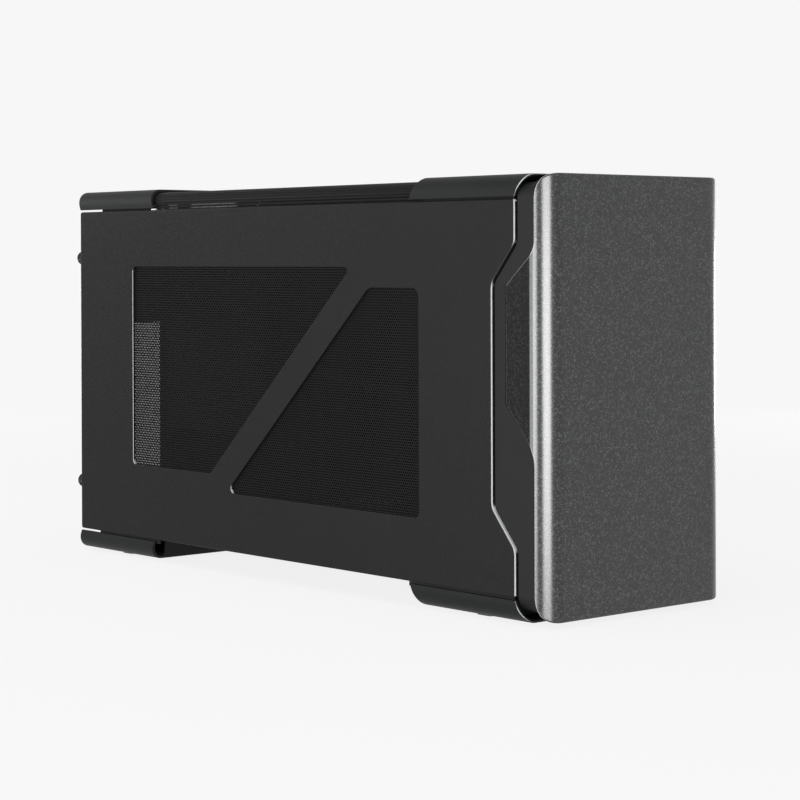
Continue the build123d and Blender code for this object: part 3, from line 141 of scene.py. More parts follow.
world = bpy.data.worlds.new("studio")
bpy.context.scene.world = world
tree = empty_tree(world)
seen = add_node(tree, "ShaderNodeBackground", {"Color": linear(PALE), "Strength": 1.0})
fill = add_node(tree, "ShaderNodeBackground", {"Color": linear("#F4F6F8"), "Strength": FILL_STRENGTH})
mixed = add_node(tree, "ShaderNodeMixShader", {0: seen_directly(tree), 1: fill.outputs[0], 2: seen.outputs[0]})
add_node(tree, "ShaderNodeOutputWorld", {"Surface": mixed.outputs[0]})
print("background", PALE, "with a fill of", FILL_STRENGTH)

# %% [markdown]
# ## Floor
# The floor is a pale sheet that runs into the background: a large disc that fades out at its rim, so no
# horizon shows. What the camera sees of it is mostly an even glow with a part of real diffuse light in
# it, so the case still throws a soft shadow. Light from the lamps passes through the sheet, as it does
# through a light table, so the lamps can reach a little below it.

# %% Floor
FLOOR_RADIUS = 1.6
FADE_START = 0.7
FADE_END = 1.5
LIT_SHARE = 0.12

floor_mesh = bmesh.new()
bmesh.ops.create_circle(floor_mesh, cap_ends=True, segments=96, radius=FLOOR_RADIUS)
floor_data = bpy.data.meshes.new("floor")
floor_mesh.to_mesh(floor_data)
floor_mesh.free()
floor = bpy.data.objects.new("floor", floor_data)
bpy.context.scene.collection.objects.link(floor)

paper = bpy.data.materials.new("pale_paper_floor")
tree = empty_tree(paper)
place = add_node(tree, "ShaderNodeTexCoord").outputs["Object"]
distance = add_node(tree, "ShaderNodeVectorMath", {0: place}, operation="LENGTH").outputs["Value"]
fade = add_node(
    tree,
    "ShaderNodeMapRange",
    {"Value": distance, "From Min": FADE_START, "From Max": FADE_END},
    interpolation_type="SMOOTHSTEP",
)
glow = add_node(tree, "ShaderNodeEmission", {"Color": linear("#FAFAFA"), "Strength": 1.0})
matt = add_node(tree, "ShaderNodeBsdfDiffuse", {"Color": linear("#F2F2F2")})
soft = add_node(tree, "ShaderNodeMixShader", {0: LIT_SHARE, 1: glow.outputs[0], 2: matt.outputs[0]})
shown = add_node(tree, "ShaderNodeMixShader", {0: seen_directly(tree), 1: matt.outputs[0], 2: soft.outputs[0]})
clear = add_node(tree, "ShaderNodeBsdfTransparent")
faded = add_node(tree, "ShaderNodeMixShader", {0: fade.outputs[0], 1: shown.outputs[0], 2: clear.outputs[0]})
add_node(tree, "ShaderNodeOutputMaterial", {"Surface": faded.outputs[0]})
floor_data.materials.append(paper)
floor.visible_shadow = False
floor.visible_glossy = False
print("floor radius", FLOOR_RADIUS, "m")

# %% [markdown]
# ## Lights
# The bend of the front panel shows two bright upright stripes with a dark line between: the mirror images
# of two soft boxes, one round the camera and one to the left of the case, with a gap between them.
# A bend mirrors a whole quarter turn of the studio, so each lamp's width follows from its stripe's width.
# The camera looks down on the foot of the panel, whose mirror image runs down too, so the boxes reach
# below the floor and the stripes run to the panel's lower edge. A wide soft lamp above lights the top,
# and a weak one behind on the left makes the rear of the side panel a little lighter. Two more stand to
# the right and behind, for whoever walks round the case. They are lower than its top and stay behind the
# planes of its front and left side, so they don't fall on the faces that the camera sees.

# %% Lights
BEND_X = -0.06
BEND_Y = -0.2


def soft_lamp(name, place, target, width, height, power):
    """A rectangular lamp that faces its target and isn't seen by the camera."""
    data = bpy.data.lights.new(name, "AREA")
    data.shape = "RECTANGLE"
    data.size = width
    data.size_y = height
    data.energy = power
    lamp = bpy.data.objects.new(name, data)
    lamp.location = place
    lamp.rotation_euler = (Vector(target) - Vector(place)).to_track_quat("-Z", "Y").to_euler()
    lamp.visible_camera = False
    bpy.context.scene.collection.objects.link(lamp)


def around(angle, reach, height):
    """A place round the front bend: the angle runs from straight ahead of the case to its left."""
    turn = math.radians(angle)
    return (BEND_X - reach * math.sin(turn), BEND_Y - reach * math.cos(turn), height)


def box_width(angle, reach):
    """Width of a lamp that spans an angle, seen from the front bend."""
    return 2 * reach * math.tan(math.radians(angle) / 2)


REACH = 1.3
print("at", REACH, "m, a lamp over 38 degrees is", round(box_width(38, REACH), 2), "m wide")

# %% Lamps that the bend and the left side mirror
BOX_HEIGHT = 0.50
BOX_MIDDLE = 0.065
bend = (BEND_X, BEND_Y, BOX_MIDDLE)
for name, angle, span, power in (("front_box", 45, 38, 25.5), ("left_box", 110, 28, 13.6)):
    soft_lamp(name, around(angle, REACH, BOX_MIDDLE), bend, box_width(span, REACH), BOX_HEIGHT, power)
soft_lamp("rear_box", around(160, 1.5, 0.55), (BEND_X, 0.1, 0.15), width=0.9, height=0.5, power=3.6)
print("lamps so far", len(bpy.data.lights))

# %% Lamps for the other sides and the top
LOW = 0.085
LOW_HEIGHT = 0.15
soft_lamp("right_box", (1.4, 0.45, LOW), (0.0, 0.45, LOW), width=1.2, height=LOW_HEIGHT, power=12.0)
soft_lamp("back_box", (0.35, 1.6, LOW), (0.35, 0.0, LOW), width=0.7, height=LOW_HEIGHT, power=8.0)
soft_lamp("overhead", (-0.3, -0.3, 2.2), (0.0, 0.0, 0.11), width=1.8, height=1.8, power=20.0)
print("lamps", [lamp.name for lamp in bpy.data.lights])

# %% [markdown]
# ## Painted edge highlights
# The folded and cut edges that face the front get a painted highlight: a pale colour added to the coat,
# which draws thin pale lines along the side panel and the bands where lamps would glint on them. They
# could be thin extra pieces, but the eased edges are real geometry, so the direction that a point faces
# says whether it is on one: partly ahead, not straight ahead, and not down, as light falls from above.
# Each such rule is a ramp, and the product of the ramps is the share of the painted highlight.

# %% Painted edge highlights
def painted_light_share(tree, ramps):
    """The share of painted light at a point: the product of its ramps. A ramp is a socket, where it starts and
    where it is full.
    """
    share = 1.0
    for value, start, full in ramps:
        ramp = add_node(tree, "ShaderNodeMapRange", {"Value": value, "From Min": start, "From Max": full})
        product = add_node(tree, "ShaderNodeMath", {0: share, 1: ramp.outputs[0]}, operation="MULTIPLY")
        share = product.outputs[0]
    return share


def paled(tree, colour, share, pale):
    """A colour with a share of a pale one added to it."""
    added = add_node(tree, "ShaderNodeVectorMath", {0: linear(pale)[:3], 1: share}, operation="MULTIPLY")
    return add_node(tree, "ShaderNodeVectorMath", {0: colour, 1: added.outputs[0]}, operation="ADD").outputs[0]


MIDDLE_Z = 110 * MM


def painted_edge_highlights(tree, colour, coordinates, end_y, outside_only):
    """The colour of a coat, with painted highlights on the front edges up to a place along Y.

    outside_only leaves out the inner edges of the foot bands, which lie in shade.
    """
    facing = add_node(tree, "ShaderNodeSeparateXYZ", {0: coordinates["Normal"]}).outputs
    where = add_node(tree, "ShaderNodeSeparateXYZ", {0: coordinates["Object"]}).outputs
    partly_ahead = (facing["Y"], -0.2, -0.55)
    not_straight_ahead = (facing["Y"], -0.99, -0.93)
    not_down = (facing["Z"], -0.35, -0.1)
    far_enough_ahead = (where["Y"], end_y, end_y - 5 * MM)
    share = painted_light_share(tree, [partly_ahead, not_straight_ahead, not_down, far_enough_ahead])
    # Painted shade: the inner edges of the foot bands, low down and facing up under the case, get no
    # highlight.
    if outside_only:
        low = (where["Z"], MIDDLE_Z + MM, MIDDLE_Z)
        upward = (facing["Z"], 0.1, 0.35)
        in_shade = painted_light_share(tree, [low, upward])
        out_of_shade = add_node(tree, "ShaderNodeMath", {0: 1.0, 1: in_shade}, operation="SUBTRACT").outputs[0]
        share = add_node(tree, "ShaderNodeMath", {0: share, 1: out_of_shade}, operation="MULTIPLY").outputs[0]
    # Painted highlight: this pale colour is added on the front edges.
    return paled(tree, colour, share, "#96989A")


print("bands below", round(MIDDLE_Z / MM), "mm are foot bands")

# %% [markdown]
# ## Black coats on sheet metal
# The panels, the bands, the sheets and the chassis are powder coated in black. The coat could be one colour
# with bump, but it then looks like plastic. Here each grain is a Voronoi cell with its own tone that leans
# its own way, and a broad noise shifts tone and gloss a little, as thickness does on a real part. The
# grains of a real coat are finer; they are drawn as coarse as the picture needs to show them.

# %% Black coats on sheet metal
CLOUD = 55 * MM
GLOSS_DRIFT = 0.04


def black_coat(name, ground, grain_mm, lean, roughness, specular, highlight_to_mm=None, outside_only=False):
    """Powder coat whose grains lean by up to half of lean, with painted highlights on front edges up to a
    place along Y.
    """
    material = bpy.data.materials.new(name)
    tree = empty_tree(material)
    coordinates = add_node(tree, "ShaderNodeTexCoord").outputs
    place = coordinates["Object"]
    grain = add_node(tree, "ShaderNodeTexVoronoi", {"Vector": place, "Scale": 1 / (grain_mm * MM)})
    broad = add_node(tree, "ShaderNodeTexNoise", {"Vector": place, "Scale": 1 / CLOUD, "Detail": 2.0})
    own = add_node(tree, "ShaderNodeSeparateXYZ", {0: grain.outputs["Color"]}).outputs["X"]
    tone = add_node(tree, "ShaderNodeMath", {0: own, 1: broad.outputs["Fac"]}, operation="ADD")
    shade = add_node(
        tree, "ShaderNodeMapRange", {"Value": tone.outputs[0], "From Max": 2.0, "To Min": 0.7, "To Max": 1.3}
    )
    shaded = {0: linear(ground)[:3], 1: shade.outputs[0]}
    colour = add_node(tree, "ShaderNodeVectorMath", shaded, operation="MULTIPLY").outputs[0]
    if highlight_to_mm is not None:
        colour = painted_edge_highlights(tree, colour, coordinates, highlight_to_mm * MM, outside_only)
    middle = {0: grain.outputs["Color"], 1: (0.5, 0.5, 0.5)}
    centred = add_node(tree, "ShaderNodeVectorMath", middle, operation="SUBTRACT")
    normal = add_node(tree, "ShaderNodeNewGeometry").outputs["Normal"]
    tilt = {0: centred.outputs[0], 1: (lean, lean, lean), 2: normal}
    leaned = add_node(tree, "ShaderNodeVectorMath", tilt, operation="MULTIPLY_ADD")
    unit = add_node(tree, "ShaderNodeVectorMath", {0: leaned.outputs[0]}, operation="NORMALIZE")
    limits = {"To Min": roughness - GLOSS_DRIFT, "To Max": roughness + GLOSS_DRIFT}
    rough = add_node(tree, "ShaderNodeMapRange", {"Value": broad.outputs["Fac"], **limits})
    shader = add_node(
        tree,
        "ShaderNodeBsdfPrincipled",
        {
            "Base Color": colour,
            "Roughness": rough.outputs[0],
            "Normal": unit.outputs[0],
            "Specular IOR Level": specular,
        },
    )
    add_node(tree, "ShaderNodeOutputMaterial", {"Surface": shader.outputs[0]})
    return material


print("clouds of", round(CLOUD / MM), "mm shift the gloss by", GLOSS_DRIFT)

# %% The five coats
finishes = {
    # Powder coat of the panels: a dull sheen with a fine sparkle of grains.
    "black_coat": black_coat(
        "black_powder_coat",
        "#121213",
        grain_mm=0.6,
        lean=0.14,
        roughness=0.46,
        specular=0.074,
        # painted highlights on the front edges, up to 300 mm along Y
        highlight_to_mm=300,
    ),
    # Smoother coat of the bands: an even satin, with painted highlights on the edges of the front pair alone.
    "band_coat": black_coat(
        "satin_black_coat",
        "#121313",
        grain_mm=0.6,
        lean=0.06,
        roughness=0.48,
        specular=0.086,
        highlight_to_mm=0,
        outside_only=True,
    ),
    # Thin coat of the perforated sheets: darker and smoother than the panels.
    "mesh_coat": black_coat(
        "black_sheet_coat", "#0B0B0B", grain_mm=0.5, lean=0.05, roughness=0.45, specular=0.06
    ),
    # Coats of the chassis and the power supply: matt, so what is inside stays dark.
    "chassis_coat": black_coat(
        "matt_black_chassis_coat", "#0E0E0E", grain_mm=0.7, lean=0.1, roughness=0.6, specular=0.15
    ),
    "psu_coat": black_coat("matt_supply_coat", "#101011", grain_mm=0.6, lean=0.1, roughness=0.5, specular=0.2),
}
print("black coats", sorted(finishes))

# %% [markdown]
# ## Flake coat of the front panel
# The front is sprayed gunmetal: dark paint with aluminium flakes under clear lacquer. The lacquer mirrors
# the lamps in smooth stripes on the bends, and the flakes below it glint one by one, so they can't be one
# surface. The shader has both: its base is the paint, with a tone for each flake, a few of them much
# lighter, and its coat is the lacquer. The side flanges get painted shade: their paint and lacquer are
# turned down by how far they face sideways. The rim behind the bend gets a painted highlight.

# %% Flake coat of the front panel
# Real flakes are finer. They are drawn as coarse as the picture needs to show them.
FLAKE = 0.7 * MM
FLAKE_CONTRAST = 4.0
RIM_START = 12 * MM
RIM_FULL = 10.5 * MM

flake_coat = bpy.data.materials.new("gunmetal_flake_coat")
tree = empty_tree(flake_coat)
coordinates = add_node(tree, "ShaderNodeTexCoord").outputs
place = coordinates["Object"]
facing = add_node(tree, "ShaderNodeSeparateXYZ", {0: coordinates["Normal"]}).outputs
along = add_node(tree, "ShaderNodeSeparateXYZ", {0: place}).outputs["Y"]

flakes = add_node(tree, "ShaderNodeTexVoronoi", {"Vector": place, "Scale": 1 / FLAKE})
own = add_node(tree, "ShaderNodeSeparateXYZ", {0: flakes.outputs["Color"]}).outputs["X"]
glint = add_node(tree, "ShaderNodeMath", {0: own, 1: FLAKE_CONTRAST}, operation="POWER").outputs[0]
level = add_node(tree, "ShaderNodeMapRange", {"Value": glint, "To Min": 0.1, "To Max": 5.0}).outputs[0]
# Painted shade: paint and lacquer are turned down where a face turns fully sideways, on the side flanges.
sideways = add_node(tree, "ShaderNodeMath", {0: facing["X"]}, operation="ABSOLUTE").outputs[0]
flange_shade = add_node(
    tree,
    "ShaderNodeMapRange",
    {"Value": sideways, "From Min": 0.985, "From Max": 0.999, "To Min": 1.0, "To Max": 0.3},
).outputs[0]
flake_tone_with_flange_shade = add_node(tree, "ShaderNodeMath", {0: level, 1: flange_shade}, operation="MULTIPLY").outputs[0]
paint = {0: linear("#171818")[:3], 1: flake_tone_with_flange_shade}
colour = add_node(tree, "ShaderNodeVectorMath", paint, operation="MULTIPLY").outputs[0]

front_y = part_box("front_panel")[0].y
# Painted highlight: the rim just behind the front bend gets a pale colour.
turned_back = (facing["Y"], -0.12, 0.02)
not_straight_back = (facing["Y"], 0.98, 0.9)
near_the_front = (along, front_y + RIM_START, front_y + RIM_FULL)
rim = painted_light_share(tree, [turned_back, not_straight_back, near_the_front])
shader = add_node(
    tree,
    "ShaderNodeBsdfPrincipled",
    {
        "Base Color": paled(tree, colour, rim, "#8C8E90"),
        "Roughness": 0.6,
        "Specular IOR Level": 0.0,
        "Coat Weight": flange_shade,
        "Coat Roughness": 0.26,
        "Coat IOR": 1.6,
    },
)
add_node(tree, "ShaderNodeOutputMaterial", {"Surface": shader.outputs[0]})
finishes["front_coat"] = flake_coat
print("front coat from", round(front_y / MM, 1), "mm")

# %% [markdown]
# ## Moulded plastic and rubber
# The frame behind the front panel, the fans and the connectors are injection moulded. A mould that was
# spark eroded leaves a fine even grain, and a polished one leaves almost none, so one recipe with a grain
# size and a depth covers them, and rubber and cable sleeve too. Real grain is finer, and is drawn as
# coarse as the picture needs to show it.

# %% Moulded plastic and rubber
MOULD_CLOUD = 20 * MM
MOULD_DRIFT = 0.08


def moulded(name, tone, grain_mm, bump_mm, roughness, specular):
    """Moulded plastic or rubber with the grain that its mould leaves."""
    material = bpy.data.materials.new(name)
    tree = empty_tree(material)
    place = add_node(tree, "ShaderNodeTexCoord").outputs["Object"]
    fine = {"Vector": place, "Scale": 1 / (grain_mm * MM), "Detail": 2.0}
    grain = add_node(tree, "ShaderNodeTexNoise", fine).outputs["Fac"]
    broad = {"Vector": place, "Scale": 1 / MOULD_CLOUD, "Detail": 3.0}
    cloud = add_node(tree, "ShaderNodeTexNoise", broad).outputs["Fac"]
    shade = add_node(tree, "ShaderNodeMapRange", {"Value": grain, "To Min": 0.75, "To Max": 1.25})
    shaded = {0: linear(tone)[:3], 1: shade.outputs[0]}
    colour = add_node(tree, "ShaderNodeVectorMath", shaded, operation="MULTIPLY")
    limits = {"To Min": roughness - MOULD_DRIFT, "To Max": roughness + MOULD_DRIFT}
    rough = add_node(tree, "ShaderNodeMapRange", {"Value": cloud, **limits})
    bump = add_node(tree, "ShaderNodeBump", {"Height": grain, "Strength": 0.5, "Distance": bump_mm * MM})
    shader = add_node(
        tree,
        "ShaderNodeBsdfPrincipled",
        {
            "Base Color": colour.outputs[0],
            "Roughness": rough.outputs[0],
            "Normal": bump.outputs[0],
            "Specular IOR Level": specular,
        },
    )
    add_node(tree, "ShaderNodeOutputMaterial", {"Surface": shader.outputs[0]})
    return material


print("clouds of", round(MOULD_CLOUD / MM), "mm shift the gloss by", MOULD_DRIFT)

# %% Plastics and rubbers of the case
finishes.update(
    {
        # ABS from a spark-eroded mould: an even, nearly matt grain.
        "frame_plastic": moulded(
            "spark_eroded_abs", "#121213", grain_mm=0.5, bump_mm=0.03, roughness=0.5, specular=0.095
        ),
        # Glass-filled fan plastic: smooth, with a soft highlight on each blade.
        "fan_plastic": moulded(
            "black_fan_plastic", "#161617", grain_mm=0.6, bump_mm=0.01, roughness=0.42, specular=0.5
        ),
        # Connector bodies from a polished mould: the glossiest plastic of the case.
        "connector_plastic": moulded(
            "smooth_connector_plastic", "#141416", grain_mm=0.5, bump_mm=0.004, roughness=0.34, specular=0.5
        ),
        # Rubber of the pads and the grommet: dull, because its surface scatters nearly all light.
        "pad_rubber": moulded(
            "foot_rubber", "#161616", grain_mm=0.8, bump_mm=0.02, roughness=0.8, specular=0.3
        ),
        # Soft sleeve of the lead: between plastic and rubber.
        "lead_sleeve": moulded(
            "soft_cable_sleeve", "#141415", grain_mm=0.7, bump_mm=0.02, roughness=0.6, specular=0.4
        ),
    }
)
print("finishes so far", len(finishes))

# %% [markdown]
# ## Bare and plated metal
# Screws, guards and ports are zinc or nickel plated, the thumbscrews are blackened steel, and the heatsink
# is extruded aluminium. Plating is smooth with a slightly cloudy gloss; extruding draws fine lines along
# the length, which a stretched noise gives. Real lines are finer, and are drawn as coarse as the
# picture needs to show them.

# %% Bare and plated metal
PLATED_DRIFT = 0.08
EVEN = (1.0, 1.0, 1.0)
DRAWN_ALONG_Y = (1.0, 0.05, 1.0)


def plated(name, tone, stretch, line_mm, roughness):
    """Metal with lines of line_mm that run along the axis that stretch makes long."""
    material = bpy.data.materials.new(name)
    tree = empty_tree(material)
    place = add_node(tree, "ShaderNodeTexCoord").outputs["Object"]
    drawn = add_node(tree, "ShaderNodeMapping", {"Vector": place, "Scale": stretch}).outputs[0]
    fine = {"Vector": drawn, "Scale": 1 / (line_mm * MM), "Detail": 2.0}
    lines = add_node(tree, "ShaderNodeTexNoise", fine).outputs["Fac"]
    shade = add_node(tree, "ShaderNodeMapRange", {"Value": lines, "To Min": 0.85, "To Max": 1.1})
    shaded = {0: linear(tone)[:3], 1: shade.outputs[0]}
    colour = add_node(tree, "ShaderNodeVectorMath", shaded, operation="MULTIPLY")
    limits = {"To Min": roughness - PLATED_DRIFT, "To Max": roughness + PLATED_DRIFT}
    rough = add_node(tree, "ShaderNodeMapRange", {"Value": lines, **limits})
    shader = add_node(
        tree,
        "ShaderNodeBsdfPrincipled",
        {"Base Color": colour.outputs[0], "Roughness": rough.outputs[0], "Metallic": 1.0},
    )
    add_node(tree, "ShaderNodeOutputMaterial", {"Surface": shader.outputs[0]})
    return material


print("lines shift the gloss by", PLATED_DRIFT)

# %% Metals of the case
finishes.update(
    {
        # Black oxide is a thin dark skin on turned steel: it stays metal, with dark reflections.
        "thumb_steel": plated("black_oxide_steel", "#1A1A1B", EVEN, line_mm=0.5, roughness=0.34),
        # Zinc is pale and slightly cloudy.
        "zinc_steel": plated("zinc_plated_steel", "#B9BABB", EVEN, line_mm=1.5, roughness=0.36),
        # Nickel is a little warmer and more mirror-like.
        "port_steel": plated("nickel_plated_sheet", "#C4C4C2", EVEN, line_mm=1.2, roughness=0.28),
        # Extruded aluminium has lines along its length.
        "sink_aluminium": plated("extruded_aluminium", "#9EA1A4", DRAWN_ALONG_Y, line_mm=0.6, roughness=0.34),
    }
)
print("finishes so far", len(finishes))

# %% [markdown]
# ## Printed circuit board
# The board is glass-fibre laminate under dark green solder resist. Copper tracks show through it as
# slightly lighter lines on a square raster, so a brick pattern with thin joints stands for them, and
# a broad noise makes the gloss of the resist uneven.

# %% Printed circuit board
TRACK_RASTER = 4 * MM
TRACK_HEIGHT = 0.05 * MM
RESIST_CLOUD = 15 * MM

board = bpy.data.materials.new("solder_resist_laminate")
tree = empty_tree(board)
place = add_node(tree, "ShaderNodeTexCoord").outputs["Object"]
tracks = add_node(
    tree,
    "ShaderNodeTexBrick",
    {
        "Vector": place,
        "Color1": linear("#0E2A1C"),
        "Color2": linear("#103020"),
        "Mortar": linear("#1D4A30"),
        "Scale": 1 / TRACK_RASTER,
        "Mortar Size": 0.06,
        "Brick Width": 2.5,
        "Row Height": 0.5,
    },
).outputs
gloss = add_node(tree, "ShaderNodeTexNoise", {"Vector": place, "Scale": 1 / RESIST_CLOUD, "Detail": 2.0})
rough = add_node(tree, "ShaderNodeMapRange", {"Value": gloss.outputs["Fac"], "To Min": 0.3, "To Max": 0.45})
bump = add_node(tree, "ShaderNodeBump", {"Height": tracks["Fac"], "Strength": 0.3, "Distance": TRACK_HEIGHT})
shader = add_node(
    tree,
    "ShaderNodeBsdfPrincipled",
    {"Base Color": tracks["Color"], "Roughness": rough.outputs[0], "Normal": bump.outputs[0]},
)
add_node(tree, "ShaderNodeOutputMaterial", {"Surface": shader.outputs[0]})
finishes["board_laminate"] = board
print("finishes", len(finishes))

# %% [markdown]
# ## Finishes on the CAD pieces
# The record says which material slot each piece has, so the finishes are handed out by that list. The
# meshes stay as they are: only their material changes.

# %% Finishes on the CAD pieces
slots = {row["node"]: row["material_slot"] for row in frame["record"]["subparts"]}
for name, slot in slots.items():
    node = frame["nodes"][name]
    node.data.materials.clear()
    node.data.materials.append(finishes[slot])
print("dressed", len(slots), "CAD pieces in", len(finishes), "finishes")

# %% [markdown]
# ## Perforated sheet
# Windows and cover are steel sheet with thousands of round holes in a honeycomb lattice. Cutting them
# with booleans would take minutes, so the sheet is grown instead: one six-sided cell with a round hole is
# bridged between two circles, repeated to a row and then to a field, and welded at the seams.

# %% Perforated sheet
PITCH = 1.6 * MM
HOLE = 1.1 * MM
HOLE_SIDES = 8
HONEYCOMB_ROW = PITCH * math.sqrt(3) / 2


def points_in(geometry):
    """The points among mixed points, edges and faces."""
    return [item for item in geometry if isinstance(item, bmesh.types.BMVert)]


def repeat(mesh, step, count):
    """Copies all of a mesh count - 1 times, each a step further."""
    base = mesh.verts[:] + mesh.edges[:] + mesh.faces[:]
    for i in range(1, count):
        copied = bmesh.ops.duplicate(mesh, geom=base)["geom"]
        bmesh.ops.translate(mesh, verts=points_in(copied), vec=step * i)


def hole_field(width, height, row):
    """A flat field of cells with holes in the XY plane, its corner at the origin, its rows along X."""
    mesh = bmesh.new()
    rim = bmesh.ops.create_circle(mesh, segments=6, radius=PITCH / math.sqrt(3))["verts"]
    bmesh.ops.scale(mesh, verts=rim, vec=(1.0, row / HONEYCOMB_ROW, 1.0))
    bmesh.ops.create_circle(mesh, segments=HOLE_SIDES, radius=HOLE / 2)
    bmesh.ops.bridge_loops(mesh, edges=mesh.edges[:])
    repeat(mesh, Vector((PITCH, 0.0, 0.0)), math.ceil(width / PITCH) + 2)
    repeat(mesh, Vector((-PITCH / 2, row, 0.0)), 2)
    repeat(mesh, Vector((0.0, 2 * row, 0.0)), math.ceil(height / (2 * row)) + 1)
    bmesh.ops.remove_doubles(mesh, verts=mesh.verts[:], dist=PITCH / 100)
    return mesh


print("one hole of", HOLE / MM, "mm every", PITCH / MM, "mm")

# %% [markdown]
# ## From a field to a piece
# A field is trimmed with planes, which cut the outermost holes as shears would, and gets its thickness
# last, because planes would leave a thick sheet open. Then it becomes a piece that rides on a body.

# %% From a field to a piece
ON_PLANE = 1e-7


def trim(mesh, point, outward):
    """Cuts away what lies beyond a plane."""
    everything = mesh.verts[:] + mesh.edges[:] + mesh.faces[:]
    return bmesh.ops.bisect_plane(
        mesh, geom=everything, dist=ON_PLANE, plane_co=point, plane_no=outward, clear_outer=True
    )["geom_cut"]


def thicken(mesh, outward, thickness):
    """Turns a sheet's faces outwards, then gives it its thickness inwards."""
    bmesh.ops.recalc_face_normals(mesh, faces=mesh.faces[:])
    highest = max(mesh.faces, key=lambda face: face.calc_center_median().dot(outward))
    if highest.normal.dot(outward) < 0:
        bmesh.ops.reverse_faces(mesh, faces=mesh.faces[:])
    bmesh.ops.solidify(mesh, geom=mesh.faces[:], thickness=thickness)


def add_piece(mesh, name, body, slot, stands_for):
    """Turns a bmesh into a piece that rides on a body, in the finish of a slot, in place of a node."""
    data = bpy.data.meshes.new(name)
    mesh.to_mesh(data)
    mesh.free()
    data.materials.append(finishes[slot])
    piece = bpy.data.objects.new(name, data)
    bpy.context.scene.collection.objects.link(piece)
    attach(piece, body)
    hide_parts(stands_for)
    data.calc_loop_triangles()
    print(name, len(data.loop_triangles), "triangles")


print("points within", ON_PLANE, "m of a plane count as on it")

# %% [markdown]
# ## Mesh behind the two windows
# One perforated sheet lies behind each slanted window of the left panel. Each field is trimmed a little
# outside its window, so the panel covers the cut edge. A sheet that is seen at a slant shows light through
# its holes only if it is thin, so it is a little thinner than the CAD sheet, with the same outer face.
# It is split at a seam into two pieces, which keeps each light enough to handle.

# %% Mesh behind the two windows
LAP = 3.0 * MM
WINDOW_SHEET = 0.55 * MM
OUTWARD = Vector((-1.0, 0.0, 0.0))
mesh_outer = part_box("side_mesh_left")[0].x
# A flat sheet's X runs along the case towards its rear, and its Y runs up.
TO_REAR = Vector((1.0, 0.0, 0.0))
upright = Matrix(
    (
        (0.0, 0.0, 1.0, mesh_outer),
        (1.0, 0.0, 0.0, 0.0),
        (0.0, 1.0, 0.0, 0.0),
        (0.0, 0.0, 0.0, 1.0),
    )
)
# The corners of each window along Y and Z, and the place of its seam along Y, in mm.
window_sheets = {
    "rear_window_mesh": ([(142.0, 55.6), (142.0, 171.8), (-58.4, 171.8), (65.8, 55.6)], 72.0),
    "front_window_mesh": ([(-111.4, 45.8), (50.8, 45.8), (-72.6, 161.2), (-111.4, 161.2)], -62.0),
}

for name, (corners, seam) in window_sheets.items():
    corners = [Vector((y, z, 0.0)) * MM for y, z in corners]
    low = Vector([min(c[i] for c in corners) - LAP for i in range(3)])
    high = Vector([max(c[i] for c in corners) + LAP for i in range(3)])
    sheet = hole_field(high.x - low.x, high.y - low.y, HONEYCOMB_ROW)
    bmesh.ops.translate(sheet, verts=sheet.verts[:], vec=Vector((low.x, low.y, 0.0)))
    centre = sum(corners, Vector()) / len(corners)
    for start, end in zip(corners, corners[1:] + corners[:1]):
        outward = Vector((end.y - start.y, start.x - end.x, 0.0)).normalized()
        if outward.dot(centre - start) > 0:
            outward.negate()
        trim(sheet, start + outward * LAP, outward)
    for part, beyond in (("fore", TO_REAR), ("rear", -TO_REAR)):
        half = sheet.copy()
        trim(half, Vector((seam * MM, 0.0, 0.0)), beyond)
        bmesh.ops.transform(half, matrix=upright, verts=half.verts[:])
        thicken(half, OUTWARD, WINDOW_SHEET)
        add_piece(half, name + "_" + part, "side_panel", "mesh_coat", "side_mesh_left")
    sheet.free()

# %% [markdown]
# ## Perforated top cover
# The cover between the top bands is the same kind of sheet, folded down over both long sides. A slice
# of it is grown flat, folded by moving its points round the two bends, and copied along the case.
# A bend modifier would need a helper object for each side, and a formula for the fold is shorter.

# %% Fold of the top cover
COVER_ROW = 1.66 * MM
COVER_BEND = 7.1 * MM
COVER_SHEET = 0.6 * MM
cover_low, cover_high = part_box("top_mesh")
flat_half = cover_high.x - COVER_BEND
bend_run = COVER_BEND * math.pi / 2
upright_run = cover_high.z - COVER_BEND - cover_low.z


def fold_over(across):
    """Place on the folded cover, across and up, of a point at a distance from the flat sheet's middle."""
    past = abs(across) - flat_half
    if past <= 0:
        return across, cover_high.z
    if past >= bend_run:
        return math.copysign(cover_high.x, across), cover_high.z - COVER_BEND - (past - bend_run)
    turn = past / COVER_BEND
    out = flat_half + COVER_BEND * math.sin(turn)
    return math.copysign(out, across), cover_high.z - COVER_BEND * (1 - math.cos(turn))


def cover_slice(length, half):
    """A folded slice of perforated cover: its length from the origin, and half its width before folding."""
    mesh = hole_field(length, 2 * half, COVER_ROW)
    bmesh.ops.translate(mesh, verts=mesh.verts[:], vec=Vector((0.0, -half, 0.0)))
    for point, outward in (
        (Vector((0.0, 0.0, 0.0)), Vector((-1.0, 0.0, 0.0))),
        (Vector((length, 0.0, 0.0)), Vector((1.0, 0.0, 0.0))),
        (Vector((0.0, -half, 0.0)), Vector((0.0, -1.0, 0.0))),
        (Vector((0.0, half, 0.0)), Vector((0.0, 1.0, 0.0))),
    ):
        trim(mesh, point, outward)
    for vert in mesh.verts:
        across, height = fold_over(vert.co.y)
        vert.co = Vector((across, vert.co.x, height))
    thicken(mesh, Vector((0.0, 0.0, 1.0)), COVER_SHEET)
    return mesh


print("cover", round(2 * (flat_half + bend_run + upright_run) / MM, 1), "mm wide before folding")

# %% [markdown]
# ## Slices of the cover
# Four slices fill the length between the bands. Next to the rear band the cover is notched, so a last
# short slice has shorter upright edges. Under the bands the cover is plain, so the ends of a copy of the
# CAD cover are cut off, closed at the cut and kept there.

